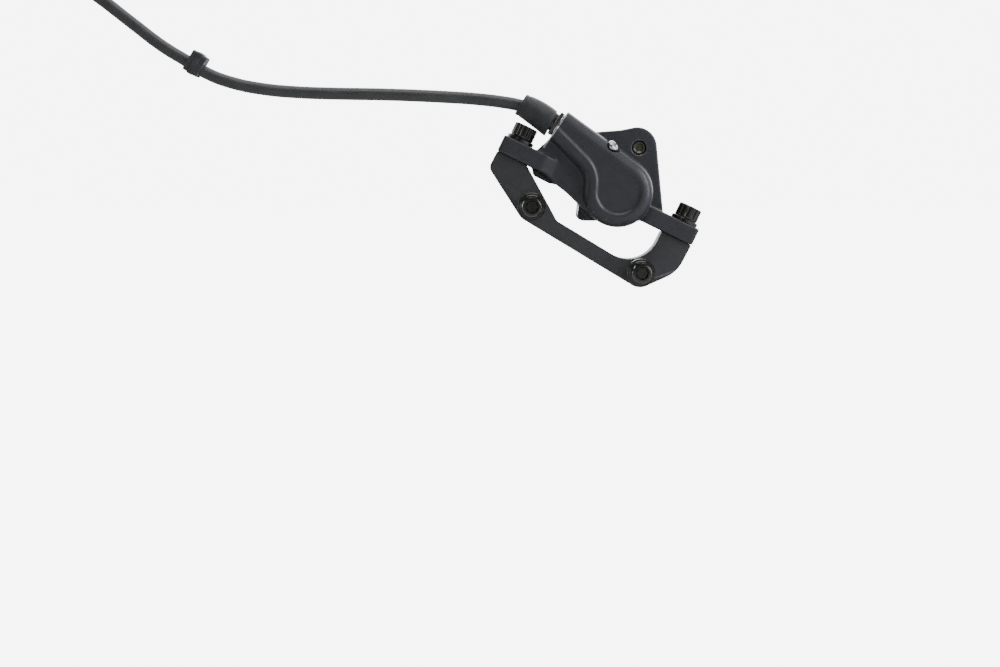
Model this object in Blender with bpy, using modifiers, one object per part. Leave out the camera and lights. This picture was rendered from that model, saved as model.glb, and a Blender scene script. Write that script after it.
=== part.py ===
"""Hydraulic disc brake caliper on its frame bracket, with its hose.

+X points to the rear of the bicycle, +Y to the wheel, +Z up.
The origin lies on the bracket's outer face, half way between its two frame bolts.
Dimensions are in millimetres; the helpers turn them into metres.
"""
import math

import bmesh
import bpy
from mathutils import Matrix, Vector

MM = 0.001
GAP = 0.3                      # between pieces that touch or slide
ARC_STEP = math.radians(15)    # widest turn between two points of an arc

# frame bolts (51 mm standard) and bracket
IS_SPACING = 51.0
IS_TILT = math.radians(30.95)
BRACKET_T = 11.0
TAB_T = 6.5                    # frame tab clamped under the frame bolts
BOLT_R = 3.0                   # M6
THREAD_R = BOLT_R + GAP

# post mount (74 mm standard): s runs along its line to the rear, t out of its face
PM_SPACING = 74.0
PM_TILT = math.radians(25.84)
PM_CENTRE = (3.6, 16.5)
PM_Y = 5.2
EAR_END = 43.6
EAR_T = 7.1
EAR_W = 13.0
ADJUST = 1.0                   # sideways travel of the caliper in its slots

# rotor that the caliper straddles (it belongs to the wheel)
ROTOR_Y = 16.35
ROTOR_AXIS = (19.7, -53.9)
ROTOR_CLEAR_R = 82.5
SLOT_HALF = 2.25

# hydraulics
PISTON_ST = (7.35, 6.3)
PISTON_R = 10.5
PISTON_L = 8.6
BULGE_R = 14.2
OUTER_FACE_Y = -3.7
INNER_FACE_Y = 35.2
SEAL_R = 12.2
SEAL_W = 2.6
PISTON_FACE = 5.65             # from the rotor plane
POCKET_FACE = 6.2
BORE_END = 17.1

# pads
LINING_FACE = 1.35
LINING_T = 1.85
PLATE_FACE = 3.35
PLATE_T = 2.0
PAD_AXLE = (21.9, 36.8)
PAD_AXLE_R = 2.0

# slab of the outer half
SLAB_Y = 7.35
PARTING_OUTER = ROTOR_Y - GAP / 2
PARTING_INNER = ROTOR_Y + GAP / 2
INNER_SLAB_Y = 25.6
SLAB = [(-3.3, 7.2, 2.6), (32.4, 7.2, 2.0), (28.5, 45.2, 8.2),
        (20.6, 45.2, 3.0), (14.6, 44.0, 3.0), (1.5, 43.0, 2.0)]
LUG = (-6.0, 30.0)
LUG_R = 5.2
TOP_BOLT = (11.2, 38.9)
HOUSING_BOLT_R = 2.5
PORT = (3.9, 35.4)

# hose
HOSE_R = 2.5
NECK_ST = (-25.8, 19.9)
NECK_Y = 4.0
NECK_DIR = Vector((-0.822, 0.0, 0.569)).normalized()
HOSE_ROUTE = [(-5.2, 41.7), (-10.95, 45.65), (-17.0, 49.75), (-22.0, 52.3), (-26.9, 53.8),
              (-32.1, 54.8), (-43.9, 56.2), (-55.8, 57.0), (-79.6, 58.0), (-101.3, 58.4),
              (-115.5, 58.9), (-129.7, 60.2), (-141.8, 62.6), (-151.9, 66.3), (-160.0, 71.2),
              (-169.8, 77.2), (-182.0, 86.5), (-195.2, 96.7), (-210.0, 106.6),
              (-225.0, 113.4), (-241.0, 117.3), (-261.0, 118.9)]
HOSE_STEP = 9.0
COIL_CENTRE = (-282.0, 81.0)   # two flat layers of turns, side by side
COIL_OUTER = 38.0              # centreline of the widest turn
COIL_INNER = 21.0
COIL_MARGIN = 2.6
LAYER = 5.1
COIL_Y = NECK_Y + LAYER / 2
TAIL_R = 35.5
TAIL_Y = 16.5
TAIL_DROP = 31.0


# ---------------------------------------------------------------- frames

def pm(s, t):
    """(x, z) of a point on the post mount line's own axes."""
    c, k = math.cos(PM_TILT), math.sin(PM_TILT)
    return PM_CENTRE[0] + s * c + t * k, PM_CENTRE[1] - s * k + t * c


def pm_outline(points):
    return [pm(s, t) + tuple(rest) for s, t, *rest in points]


def front_frame(y):
    """Local x, y become X, Z; local z points out of the front, at depth y."""
    return Matrix.Translation((0, y * MM, 0)) @ Matrix.Rotation(math.pi / 2, 4, 'X')


def pm_frame(s=0.0, y=0.0, t=0.0):
    """Local x runs along the post mount line, local y is Y, local z points out of its face."""
    x, z = pm(s, t)
    return Matrix.Translation((x * MM, y * MM, z * MM)) @ Matrix.Rotation(PM_TILT, 4, 'Y')


def axis_frame(origin, direction):
    """Local z points along the direction, from an origin in millimetres."""
    turn = Vector(direction).to_track_quat('Z', 'Y').to_matrix().to_4x4()
    return Matrix.Translation(Vector(origin) * MM) @ turn


# ---------------------------------------------------------------- outlines

def arc(centre, radius, start, end):
    count = max(2, math.ceil(abs(end - start) / ARC_STEP))
    angles = [start + (end - start) * i / count for i in range(count + 1)]
    return [(centre[0] + radius * math.cos(a), centre[1] + radius * math.sin(a)) for a in angles]


def rounded(corners):
    """Outline through corners (x, y, radius), each corner replaced by its arc."""
    points = []
    for i, (x, y, radius) in enumerate(corners):
        here = Vector((x, y))
        back = (Vector(corners[i - 1][:2]) - here).normalized()
        ahead = (Vector(corners[(i + 1) % len(corners)][:2]) - here).normalized()
        if not radius:
            points.append((x, y))
            continue
        half = back.angle(ahead) / 2
        centre = here + (back + ahead).normalized() * (radius / math.sin(half))
        start = here + back * (radius / math.tan(half)) - centre
        end = here + ahead * (radius / math.tan(half)) - centre
        turn = start.angle_signed(end)
        first = math.atan2(start.y, start.x)
        points += arc(centre, radius, first, first - turn)
    return points


def ring(radius, count):
    return [(radius * math.cos(2 * math.pi * i / count),
             radius * math.sin(2 * math.pi * i / count)) for i in range(count)]


def box_outline(half_x, half_y, radius):
    return rounded([(-half_x, -half_y, radius), (half_x, -half_y, radius),
                    (half_x, half_y, radius), (-half_x, half_y, radius)])


def smooth_route(points, step):
    """Points every step or so along a smooth curve through the given points."""
    route = []
    ends = [points[0] * 2 - points[1]] + points + [points[-1] * 2 - points[-2]]
    for p0, p1, p2, p3 in zip(ends, ends[1:], ends[2:], ends[3:]):
        count = max(1, round((p2 - p1).length / step))
        for i in range(count):
            f = i / count
            route.append(0.5 * (2 * p1 + (p2 - p0) * f + (2 * p0 - 5 * p1 + 4 * p2 - p3) * f ** 2
                                + (3 * p1 - p0 - 3 * p2 + p3) * f ** 3))
    return route + [points[-1]]


# ---------------------------------------------------------------- solids

def material(name, colour, roughness, metallic):
    mat = bpy.data.materials.new(name)
    mat.use_nodes = True
    shader = mat.node_tree.nodes["Principled BSDF"]
    shader.inputs["Base Color"].default_value = (*colour, 1.0)
    shader.inputs["Roughness"].default_value = roughness
    shader.inputs["Metallic"].default_value = metallic
    mat.diffuse_color = (*colour, 1.0)
    return mat


def add_object(name, mesh, frame, mat):
    obj = bpy.data.objects.new(name, mesh)
    obj.matrix_world = frame
    PARTS.objects.link(obj)
    if mat:
        mesh.materials.clear()
        mesh.materials.append(mat)
    return obj


def curve_to_mesh(name, curve, frame, mat):
    """Mesh object from a curve, with its caps welded on."""
    source = bpy.data.objects.new(name + "_curve", curve)
    PARTS.objects.link(source)
    evaluated = source.evaluated_get(bpy.context.evaluated_depsgraph_get())
    mesh = bpy.data.meshes.new_from_object(evaluated)
    bpy.data.objects.remove(source)
    bpy.data.curves.remove(curve)
    bm = bmesh.new()
    bm.from_mesh(mesh)
    bmesh.ops.remove_doubles(bm, verts=bm.verts, dist=1e-6)
    bmesh.ops.recalc_face_normals(bm, faces=bm.faces)
    bm.to_mesh(mesh)
    bm.free()
    mesh.name = name
    return add_object(name, mesh, frame, mat)


def prism(name, outline, low, high, frame, mat=None, fillet=0.0):
    """Flat outline between two heights of its frame, its rims rounded by the fillet."""
    curve = bpy.data.curves.new(name, 'CURVE')
    curve.dimensions = '2D'
    curve.fill_mode = 'BOTH'
    curve.extrude = ((high - low) / 2 - fillet) * MM
    curve.bevel_depth = fillet * MM
    curve.offset = -fillet * MM
    curve.bevel_resolution = 2
    spline = curve.splines.new('POLY')
    spline.points.add(len(outline) - 1)
    for point, (x, y) in zip(spline.points, outline):
        point.co = (x * MM, y * MM, 0, 1)
    spline.use_cyclic_u = True
    shift = Matrix.Translation((0, 0, (low + high) / 2 * MM))
    return curve_to_mesh(name, curve, frame @ shift, mat)


def plate(name, outline, y_low, y_high, mat=None, fillet=0.0):
    """Outline in X and Z between two depths."""
    return prism(name, outline, -y_high, -y_low, front_frame(0), mat, fillet)


def tube(name, points, radii, mat=None, resolution=3):
    """Round bar along points in millimetres, one radius for all or one for each."""
    curve = bpy.data.curves.new(name, 'CURVE')
    curve.dimensions = '3D'
    curve.bevel_depth = MM
    curve.bevel_resolution = resolution
    curve.use_fill_caps = True
    spline = curve.splines.new('POLY')
    spline.points.add(len(points) - 1)
    for i, (point, place) in enumerate(zip(spline.points, points)):
        point.co = (*(Vector(place) * MM), 1)
        point.radius = radii[i] if isinstance(radii, list) else radii
    return curve_to_mesh(name, curve, Matrix.Identity(4), mat)


def turned(name, profile, frame, mat=None, steps=24, closed=False):
    """Profile of (radius, height) points turned round the frame's z axis.

    It runs from the top of the axis down the outer side to the bottom; a closed
    profile is a ring's section, and returns up the inner side.
    """
    mesh = bpy.data.meshes.new(name)
    verts = [(r * MM, 0, h * MM) for r, h in profile]
    edges = [(i, i + 1) for i in range(len(verts) - 1)]
    if closed:
        edges.append((len(verts) - 1, 0))
    mesh.from_pydata(verts, edges, [])
    obj = add_object(name, mesh, frame, mat)
    screw = obj.modifiers.new("turn", 'SCREW')
    screw.steps = steps
    screw.render_steps = steps
    screw.use_merge_vertices = True
    screw.merge_threshold = 1e-6
    return obj


def cylinder(name, start, end, radius, steps=24):
    """Plain round bar between two points in millimetres."""
    length = (Vector(end) - Vector(start)).length
    frame = axis_frame(start, Vector(end) - Vector(start))
    return turned(name, [(0, length), (radius, length), (radius, 0), (0, 0)], frame, steps=steps)


def bore(x, z, y_low, y_high, radius, steps=24):
    """Cutter along Y."""
    return cylinder("cut", (x, y_low, z), (x, y_high, z), radius, steps)


def stepped_bore(x, z, stations, steps=24):
    """Cutter along Y whose radius changes at each (y, radius) station; the last only ends it."""
    profile = []
    for (low, radius), (high, _) in zip(stations, stations[1:]):
        profile += [(radius, low), (radius, high)]
    profile = [(0, stations[0][0])] + profile + [(0, stations[-1][0])]
    return turned("cut", profile[::-1], axis_frame((x, 0, z), (0, 1, 0)), steps=steps)


def combine(target, operand, operation):
    boolean = target.modifiers.new(operation.lower(), 'BOOLEAN')
    boolean.operation = operation
    boolean.solver = 'EXACT'
    boolean.object = operand
    PARTS.objects.unlink(operand)
    CUTTERS.objects.link(operand)
    operand.hide_render = True
    operand.display_type = 'WIRE'
    operand.name = f"{operation.lower()}_{target.name}"


def cut(target, *operands):
    for operand in operands:
        combine(target, operand, 'DIFFERENCE')


def join(target, *operands):
    for operand in operands:
        combine(target, operand, 'UNION')


# ---------------------------------------------------------------- bracket

def make_bracket(mat):
    """Adapter: two posts with threaded faces above a bar with the two frame bolt bosses."""
    post_in, post_out = 30.4, 43.5
    face = -GAP / 2
    outline = rounded([
        (*pm(-post_out, face), 0.8), (-39.06, 28.75, 3.5), (-26.0, 8.45, 6.1),
        (21.7, -20.28, 6.4), (37.03, -13.38, 13.5), (*pm(post_out, face), 0.8),
        (*pm(post_in, face), 0.6), (22.6, -13.15, 12.5), (-11.55, 7.42, 3.0),
        (*pm(-post_in, face), 0.6)])
    bracket = plate("adapter_bracket", outline, 0, BRACKET_T, mat)
    for x, z in is_holes():
        cut(bracket, bore(x, z, -1, BRACKET_T + 1, THREAD_R))
    for s in (-PM_SPACING / 2, PM_SPACING / 2):
        frame = pm_frame(s, PM_Y)
        cut(bracket, turned("cut", [(0, 1), (THREAD_R, 1), (THREAD_R, -6.9), (0, -6.9)], frame))


def is_holes():
    dx, dz = IS_SPACING / 2 * math.cos(IS_TILT), IS_SPACING / 2 * math.sin(IS_TILT)
    return [(-dx, dz), (dx, -dz)]


def make_bolt(name, frame, head_r, head_h, length, socket, mat, flutes=0, shank_r=BOLT_R):
    """Socket bolt: its seat at the frame's origin, head up the z axis, shank down it."""
    edge = 0.7
    profile = [(0, head_h), (head_r - edge, head_h), (head_r - edge * 0.3, head_h - edge * 0.3),
               (head_r, head_h - edge), (head_r, 0), (shank_r, 0), (shank_r, -length + 0.6),
               (shank_r - 0.6, -length), (0, -length)]
    bolt = turned(name, profile, frame, mat, steps=20)
    hexagon = ring(socket / 2 / math.cos(math.pi / 6), 6)
    cut(bolt, prism("cut", hexagon, head_h * 0.45, head_h + 1, frame))
    for i in range(flutes):
        turn = Matrix.Rotation(2 * math.pi * i / flutes, 4, 'Z')
        place = frame @ turn @ Matrix.Translation(((head_r + 0.25) * MM, 0, 0))
        cut(bolt, turned("cut", [(0, head_h + 1), (0.6, head_h + 1), (0.6, 0.9), (0, 0.9)],
                         place, steps=6))
    return bolt


def make_washer(name, frame, outer, low, high, mat, inner=THREAD_R):
    profile = [(outer, high), (outer, low), (inner, low), (inner, high)]
    turned(name, profile, frame, mat, 20, True)


def make_fasteners(steel):
    """Frame bolts from the outside, caliper bolts down through the ears."""
    seat = TAB_T + 1.0 + GAP
    for name, (x, z) in zip(("upper", "lower"), is_holes()):
        frame = axis_frame((x, -seat, z), (0, -1, 0))
        make_bolt(f"adapter_bolt_{name}", frame, 4.8, 5.2, seat + 9.5, 5.0, steel)
        make_washer(f"adapter_washer_{name}", frame, 5.6, -1.0 - GAP, -GAP, steel)
    for name, s in (("front", -PM_SPACING / 2), ("rear", PM_SPACING / 2)):
        top = pm_frame(s, PM_Y, EAR_T + 1.0 + 2 * GAP)
        make_bolt(f"caliper_bolt_{name}", top, 4.8, 5.4, 15.1, 5.0, steel, flutes=10)
        make_washer(f"caliper_washer_{name}", top, 5.6, -1.0 - GAP, -GAP, steel)


# ---------------------------------------------------------------- housing

def drop_outline():
    """Piston bulge that runs into the hose neck, on the post mount's axes."""
    centre = Vector(PISTON_ST)
    top_slope = math.radians(-10.0)
    low_slope = math.radians(-19.2)
    blend_r = 9.0
    low_start = Vector((-26.8, 13.4))
    along = Vector((math.cos(low_slope), math.sin(low_slope)))
    down = Vector((along.y, -along.x))
    # the blend's centre lies blend_r below the lower edge and clear of the bulge
    base = low_start + down * blend_r - centre
    b = base.dot(along)
    reach = -b - math.sqrt(b * b - base.length_squared + (BULGE_R + blend_r) ** 2)
    blend = low_start + down * blend_r + along * reach
    meet = math.atan2(blend.y - centre.y, blend.x - centre.x)
    if meet > 0:
        meet -= 2 * math.pi
    over = 12.0
    tangent = Vector((math.cos(math.pi / 2 + top_slope), math.sin(math.pi / 2 + top_slope)))
    top = centre + tangent * BULGE_R
    left = top.x + 25.8 + over
    points = [(top.x - left, top.y - left * math.tan(top_slope))]
    points += arc(centre, BULGE_R, math.pi / 2 + top_slope, meet)
    points += arc(blend, blend_r, meet + math.pi, math.pi / 2 + low_slope)[1:]
    end = low_start - along * over
    return [pm(x, y) for x, y in points + [(end.x, end.y)]]


def ear_outline(side):
    """Ear seen down the bolt, running back into the body with a ramp on its front face."""
    low, high = PM_Y - EAR_W / 2, PM_Y + EAR_W / 2
    root = 20.5 if side < 0 else 22.5
    points = [(EAR_END, low, 1.2), (EAR_END, high, 2.0), (root - 10, high - 0.8, 0),
              (root - 10, 1.6, 0), (root - 4, 1.6, 1.5), (root, low, 2.0)]
    return [(side * s, y, r) for s, y, r in points]


def make_ears(housing):
    for side in (-1, 1):
        outline = rounded(ear_outline(side))
        ear = prism("ear", outline, GAP / 2, EAR_T, pm_frame())
        join(housing, ear)


def slot_cutters():
    """Ear slots, longer towards the wheel than they are wide."""
    half = ADJUST + GAP
    for s in (-PM_SPACING / 2, PM_SPACING / 2):
        outline = [(x, y + half) for x, y in ring(THREAD_R, 24)[:13]]
        outline += [(x, y - half) for x, y in ring(THREAD_R, 24)[12:]]
        outline.append((THREAD_R, -half))
        yield prism("cut", outline, -2, EAR_T + 2, pm_frame(s, PM_Y))


def pocket_outline(grow):
    """Pad shape: a wide foot over the rotor band and a tab up to the pad axle."""
    left, right, low, top = 0.9 - grow, 26.0 + grow, 8.7 - grow, 29.0 + grow
    tab = 17.7 - grow
    return rounded([(left, low, 3.0), (right, low, 3.0), (right, 41.0 + grow * 20, 1.5),
                    (tab, 41.0 + grow * 20, 1.5), (tab, top, 1.5), (left, top, 4.0)])


def rotor_cutter():
    x, z = ROTOR_AXIS
    return bore(x, z, ROTOR_Y - SLOT_HALF, ROTOR_Y + SLOT_HALF, ROTOR_CLEAR_R, 96)


def pocket_cutter():
    return plate("cut", pocket_outline(0.4), ROTOR_Y - POCKET_FACE, ROTOR_Y + POCKET_FACE)


def make_outer_housing(mat):
    """Slab, drop-shaped bulge with hose neck, web and ears: one casting."""
    housing = plate("outer_housing", rounded(SLAB), SLAB_Y, PARTING_OUTER, mat, fillet=0.7)
    join(housing, plate("drop", drop_outline(), OUTER_FACE_Y, 10.9, fillet=4.9))
    web = rounded(pm_outline([(-29.6, 0.4, 0), (-20.0, -0.9, 8), (-10.3, -3.1, 20),
                              (3.0, -7.6, 0), (6.0, 4.0, 0), (-10.0, 13.0, 0), (-20.0, 17.0, 0),
                              (-30.0, 17.0, 0), (-28.2, 10.0, 0), (-29.6, 6.6, 0)]))
    join(housing, plate("web", web, 0.6, 10.4))
    rib = rounded(pm_outline([(-28.6, 1.0, 0), (-26.2, -2.5, 2.0), (-19.0, -2.6, 3.0),
                              (-13.0, -1.0, 0), (-14.0, 4.0, 0), (-28.6, 4.0, 0)]))
    join(housing, plate("rib", rib, 4.6, 11.1))
    make_ears(housing)
    gusset = rounded(pm_outline([(8.0, -7.7, 0), (21.6, 0.4, 3.0), (26.0, 1.0, 0), (24.0, 5.0, 0),
                                 (8.0, 5.0, 0)]))
    join(housing, plate("gusset", gusset, 1.9, 10.2))
    join(housing, bore(*LUG, 6.0, PARTING_OUTER - 0.2, LUG_R))
    trim = pm_outline([(-24.4, 29.2), (-26.85, 13.4), (-27.95, 10.2), (-48.0, 10.2), (-48.0, 36.0)])
    cut(housing, plate("cut", [tuple(p) for p in trim], -8, 16))
    cut_outer_housing(housing)
    return housing


def cut_outer_housing(housing):
    x, z = pm(*PISTON_ST)
    floor = ROTOR_Y - POCKET_FACE
    groove = floor - 4.0
    cut(housing, rotor_cutter(), pocket_cutter())
    cut(housing, stepped_bore(x, z, [
        (ROTOR_Y - BORE_END, PISTON_R), (groove, SEAL_R + GAP),
        (groove + SEAL_W + 2 * GAP, PISTON_R), (floor + 1, 0)], 36))
    cut(housing, *slot_cutters())
    # pad axle with its counterbore, housing bolts, crossover port
    cut(housing, stepped_bore(*PAD_AXLE, [(5, 3.2), (9.7, PAD_AXLE_R + GAP), (13, 0)], 20))
    for bolt_x, bolt_z in (LUG, TOP_BOLT):
        cut(housing, bore(bolt_x, bolt_z, 7.6, 18, HOUSING_BOLT_R + GAP, 16))
    cut(housing, stepped_bore(*PORT, [(3.4, 1.1), (PARTING_OUTER - 1.1, 2.4), (18, 0)], 16))
    # hose seat and the drilling from it to the piston
    start = neck_point(1.0)
    cut(housing, cylinder("cut", start, neck_point(-13.0), 4.4, 20))
    drill_end = (x - 4.0, 0.8, z + 6.0)
    cut(housing, cylinder("cut", neck_point(-12.0), drill_end, 1.1, 12))
    cut(housing, turned("cut", [(0, 3), (3.3, 3), (3.3, -0.9), (0, -0.9)], bleed_frame()))
    cut(housing, turned("cut", [(0, 0), (2.3, 0), (2.3, -6.6), (0, -6.6)], bleed_frame(), steps=16))


def neck_point(out):
    """Point on the neck's axis, so far outside its end face."""
    x, z = pm(*NECK_ST)
    return Vector((x, NECK_Y, z)) + NECK_DIR * out


def bleed_frame():
    return axis_frame((10.6, -0.7, 37.1), (0.66, -0.5, 0.56))


def make_inner_housing(mat):
    """Wheel-side half with its own bulge, lug and feed rib."""
    housing = plate("inner_housing", rounded(SLAB), PARTING_INNER, INNER_SLAB_Y, mat, fillet=0.7)
    x, z = pm(*PISTON_ST)
    radius, back, fillet = 13.8, INNER_FACE_Y, 3.2
    profile = [(0, back), (radius - fillet, back)]
    profile += [(radius - fillet + fillet * math.sin(a), back - fillet + fillet * math.cos(a))
                for a in (math.pi / 6, math.pi / 3, math.pi / 2)]
    profile += [(radius, 18), (0, 18)]
    join(housing, turned("bulge", profile, axis_frame((x, 0, z), (0, 1, 0)), steps=36))
    arm = rounded([(LUG[0] - LUG_R, LUG[1], LUG_R - 0.1), (LUG[0], LUG[1] - LUG_R, 3.0),
                   (8.0, 19.0, 0), (8.0, 38.0, 0), (LUG[0], LUG[1] + LUG_R, 3.0)])
    join(housing, plate("arm", arm, PARTING_INNER + 0.1, 23.4))
    join(housing, cylinder("rib", (PORT[0], 20.0, PORT[1]), (x - 3.5, 31.0, z + 8.5), 3.3, 16))
    cut(housing, rotor_cutter(), pocket_cutter())
    floor = ROTOR_Y + POCKET_FACE
    groove = floor + 4.0
    cut(housing, stepped_bore(x, z, [
        (floor - 1, PISTON_R), (groove - SEAL_W - 2 * GAP, SEAL_R + GAP),
        (groove, PISTON_R), (ROTOR_Y + BORE_END - 1.0, 0)], 36))
    cut(housing, bore(*PAD_AXLE, 20, 28, PAD_AXLE_R + GAP, 20))
    for bolt_x, bolt_z in (LUG, TOP_BOLT):
        cut(housing, stepped_bore(bolt_x, bolt_z, [(14, HOUSING_BOLT_R + GAP), (21.6, 4.6), (36, 0)],
                                  16))
    cut(housing, bore(*PORT, 14, 21.5, 1.1, 12))
    cut(housing, cylinder("cut", (PORT[0], 20.9, PORT[1]), (x - 3.0, 31.4, z + 7.0), 1.1, 12))


def make_housing_parts(steel, plated, seal):
    for name, (x, z) in (("front", LUG), ("rear", TOP_BOLT)):
        frame = axis_frame((x, 21.6 + GAP, z), (0, 1, 0))
        make_bolt(f"housing_bolt_{name}", frame, 4.2, 4.8, 13.6, 4.0, steel,
                  shank_r=HOUSING_BOLT_R)
    frame = axis_frame((PORT[0], PARTING_OUTER - 1.1 + 0.2, PORT[1]), (0, 1, 0))
    turned("port_oring", [(2.2, 0.95), (2.2, 0), (1.3, 0), (1.3, 0.95)], frame, seal, 16, True)
    make_bleed_screw(plated, seal)
    make_pad_axle(steel)


def make_bleed_screw(plated, seal):
    frame = bleed_frame()
    seat = frame @ Matrix.Translation((0, 0, 0.4 * MM))
    make_bolt("bleed_screw", seat, 2.6, 1.8, 6.2, 2.0, plated, shank_r=1.6)
    turned("bleed_seal", [(2.6, 0.1), (2.6, -0.6), (1.9, -0.6), (1.9, 0.1)], frame, seal, 16, True)


def make_pad_axle(steel):
    """Screw through both halves and the pad tabs, held by a spring clip at its tip."""
    x, z = PAD_AXLE
    low, seat, tip = 7.8, 9.4, 28.4
    groove = INNER_SLAB_Y + 0.5
    profile = [(0, tip - low), (1.5, tip - low), (PAD_AXLE_R, tip - low - 0.5),
               (PAD_AXLE_R, groove + 1.2 - low), (1.3, groove + 1.2 - low), (1.3, groove - low),
               (PAD_AXLE_R, groove - low), (PAD_AXLE_R, seat - low), (2.8, seat - low - 0.3),
               (2.8, 0), (0, 0)]
    axle = turned("pad_axle", profile, axis_frame((x, low, z), (0, 1, 0)), steel, 20)
    cut(axle, prism("cut", ring(1.5 / math.cos(math.pi / 6), 6), 0, 2.2, front_frame(low + 1.2)
                    @ Matrix.Translation((x * MM, z * MM, 0))))
    clip = [(r * math.cos(a), r * math.sin(a)) for r, angles in
            ((3.9, range(-60, 241, 30)), (1.6, range(240, -61, -30)))
            for a in (math.radians(d) for d in angles)]
    prism("pad_axle_clip", clip, 0, 0.6, axis_frame((x, groove + 0.3, z), (0, 1, 0)), steel)


# ---------------------------------------------------------------- pistons and pads

def make_pistons(ceramic, seal):
    """Cups open to the pads, each with a square-section seal in its bore."""
    x, z = pm(*PISTON_ST)
    radius = PISTON_R - GAP
    profile = [(0, PISTON_L - 6), (7.4, PISTON_L - 6), (7.4, PISTON_L), (radius - 0.5, PISTON_L),
               (radius, PISTON_L - 0.5), (radius, 0.5), (radius - 0.5, 0), (0, 0)]
    centre = ROTOR_Y - POCKET_FACE - 4.0 + GAP + SEAL_W / 2
    for name, side in (("outer", -1), ("inner", 1)):
        base = (x, ROTOR_Y + side * (PISTON_FACE + PISTON_L), z)
        turned(f"{name}_piston", profile, axis_frame(base, (0, -side, 0)), ceramic, 36)
        offset = side * (ROTOR_Y - centre)
        frame = axis_frame((x, ROTOR_Y + offset, z), (0, -side, 0))
        inner, half = radius + GAP, SEAL_W / 2
        turned(f"{name}_piston_seal", [(SEAL_R, half), (SEAL_R, -half), (inner, -half),
                                       (inner, half)], frame, seal, 36, True)


def make_pads(plate_mat, lining_mat):
    x, z = PAD_AXLE
    lining = rounded([(2.2, 10.0, 3.0), (24.7, 10.0, 3.0), (24.7, 27.2, 4.0), (2.2, 27.2, 4.0)])
    for name, side in (("outer", -1), ("inner", 1)):
        depths = sorted(ROTOR_Y + side * d for d in (PLATE_FACE, PLATE_FACE + PLATE_T))
        backing = plate(f"{name}_pad_plate", pocket_outline(0.0), *depths, plate_mat)
        cut(backing, bore(x, z, depths[0] - 1, depths[1] + 1, PAD_AXLE_R + 0.5, 20))
        depths = sorted(ROTOR_Y + side * d for d in (LINING_FACE, LINING_FACE + LINING_T))
        plate(f"{name}_pad_lining", lining, *depths, lining_mat)


def make_pad_spring(mat):
    """Sheet spring: a leaf against each backing plate, joined over the rotor's edge."""
    leaf = rounded([(3.6, 27.6, 0.3), (25.4, 27.6, 0.3), (25.4, 32.0, 1.5), (18.4, 32.0, 0.5),
                    (18.4, 28.6, 0.5), (3.6, 28.6, 0.3)])
    near, far = ROTOR_Y - PLATE_FACE + GAP, ROTOR_Y + PLATE_FACE - GAP
    spring = plate("pad_spring", leaf, near, near + 0.45, mat)
    join(spring, plate("leaf", leaf, far - 0.45, far))
    bridge = [(19.6, 31.4), (24.2, 31.4), (24.2, 31.9), (19.6, 31.9)]
    join(spring, plate("bridge", bridge, near + 0.1, far - 0.1))


# ---------------------------------------------------------------- hose

def hose_points():
    route = [Vector((x, NECK_Y, z)) for x, z in HOSE_ROUTE]
    return smooth_route(route, HOSE_STEP)


def make_hose_ends(plated, brass, rubber, nut_mat):
    """Compression nut, olive and insert in the neck, under a rubber boot."""
    frame = axis_frame(neck_point(-8.6), NECK_DIR)
    bore_r = HOSE_R + GAP
    nut = [(3.7, 12.8), (3.7, 9.4), (4.0, 9.2), (4.0, 1.0), (3.4, 0.2), (bore_r, 0.2), (bore_r, 12.8)]
    turned("hose_nut", nut, frame, nut_mat, 20, True)
    olive = [(bore_r + 0.4, -0.2), (4.0, -1.2), (bore_r + 0.4, -2.6), (bore_r, -2.6), (bore_r, -0.2)]
    turned("hose_olive", olive, frame, brass, 20, True)
    insert = [(0, -2.95), (2.6, -2.95), (2.6, -3.6), (1.4, -3.7), (1.0, -4.2), (0, -4.2)]
    turned("hose_insert", insert, frame, plated, 16)
    path = [neck_point(1.7), neck_point(5.0), Vector((-18.9, NECK_Y, 50.9)),
            Vector((-22.6, NECK_Y, 52.75)), Vector((-26.3, NECK_Y, 53.85))]
    boot = tube("hose_boot", path, [5.55, 5.35, 4.95, 4.5, 4.25], rubber, 4)
    cut(boot, cylinder("cut", neck_point(0.5), neck_point(5.6), 4.4, 20))
    start = [p for p in hose_points() if p.x < -9.0 and p.x > -34.0]
    cut(boot, tube("cut", start, bore_r + 0.05, resolution=3))


def make_hose(rubber):
    points = [neck_point(-11.4)] + [p for p in hose_points() if p.x < -9.5]
    tube("brake_hose", points, HOSE_R, rubber)


def make_hose_clip(mat):
    """Open clip that snaps round the hose."""
    here, ahead = Vector((-157.0, NECK_Y, 69.3)), Vector((-160.4, NECK_Y, 71.45))
    frame = axis_frame(here, ahead - here)
    clip = [(r * math.cos(a), r * math.sin(a)) for r, angles in
            ((4.4, range(-50, 231, 20)), (HOSE_R + 0.45, range(230, -51, -20)))
            for a in (math.radians(d) for d in angles)]
    prism("hose_clip", clip, -3.2, 3.2, frame, mat)


def make_coil(rubber, strap):
    """Solid of the wound hose, and the strap that ties it at its lowest point."""
    x, z = COIL_CENTRE
    low, high = COIL_INNER - COIL_MARGIN, COIL_OUTER + COIL_MARGIN
    half, chamfer = LAYER / 2 + COIL_MARGIN, 1.4
    profile = [(high, half - chamfer), (high, chamfer - half), (high - chamfer, -half),
               (low + chamfer, -half), (low, chamfer - half), (low, half - chamfer),
               (low + chamfer, half), (high - chamfer, half)]
    turned("hose_coil", profile, axis_frame((x, COIL_Y, z), (0, 1, 0)), rubber, 36, True)
    frame = axis_frame((x, COIL_Y, z - (low + high) / 2), (1, 0, 0))
    radial, gap, thick, width = (high - low) / 2, 1.0, 1.1, 4.5
    outer, inner = half + gap + thick, half + gap
    strap_ring = box_outline(outer, radial + gap + thick, 2.5)
    tie = prism("coil_tie", strap_ring, -width, width, frame, strap)
    cut(tie, prism("cut", box_outline(inner, radial + gap, 1.5), -width - 1, width + 1, frame))


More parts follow.
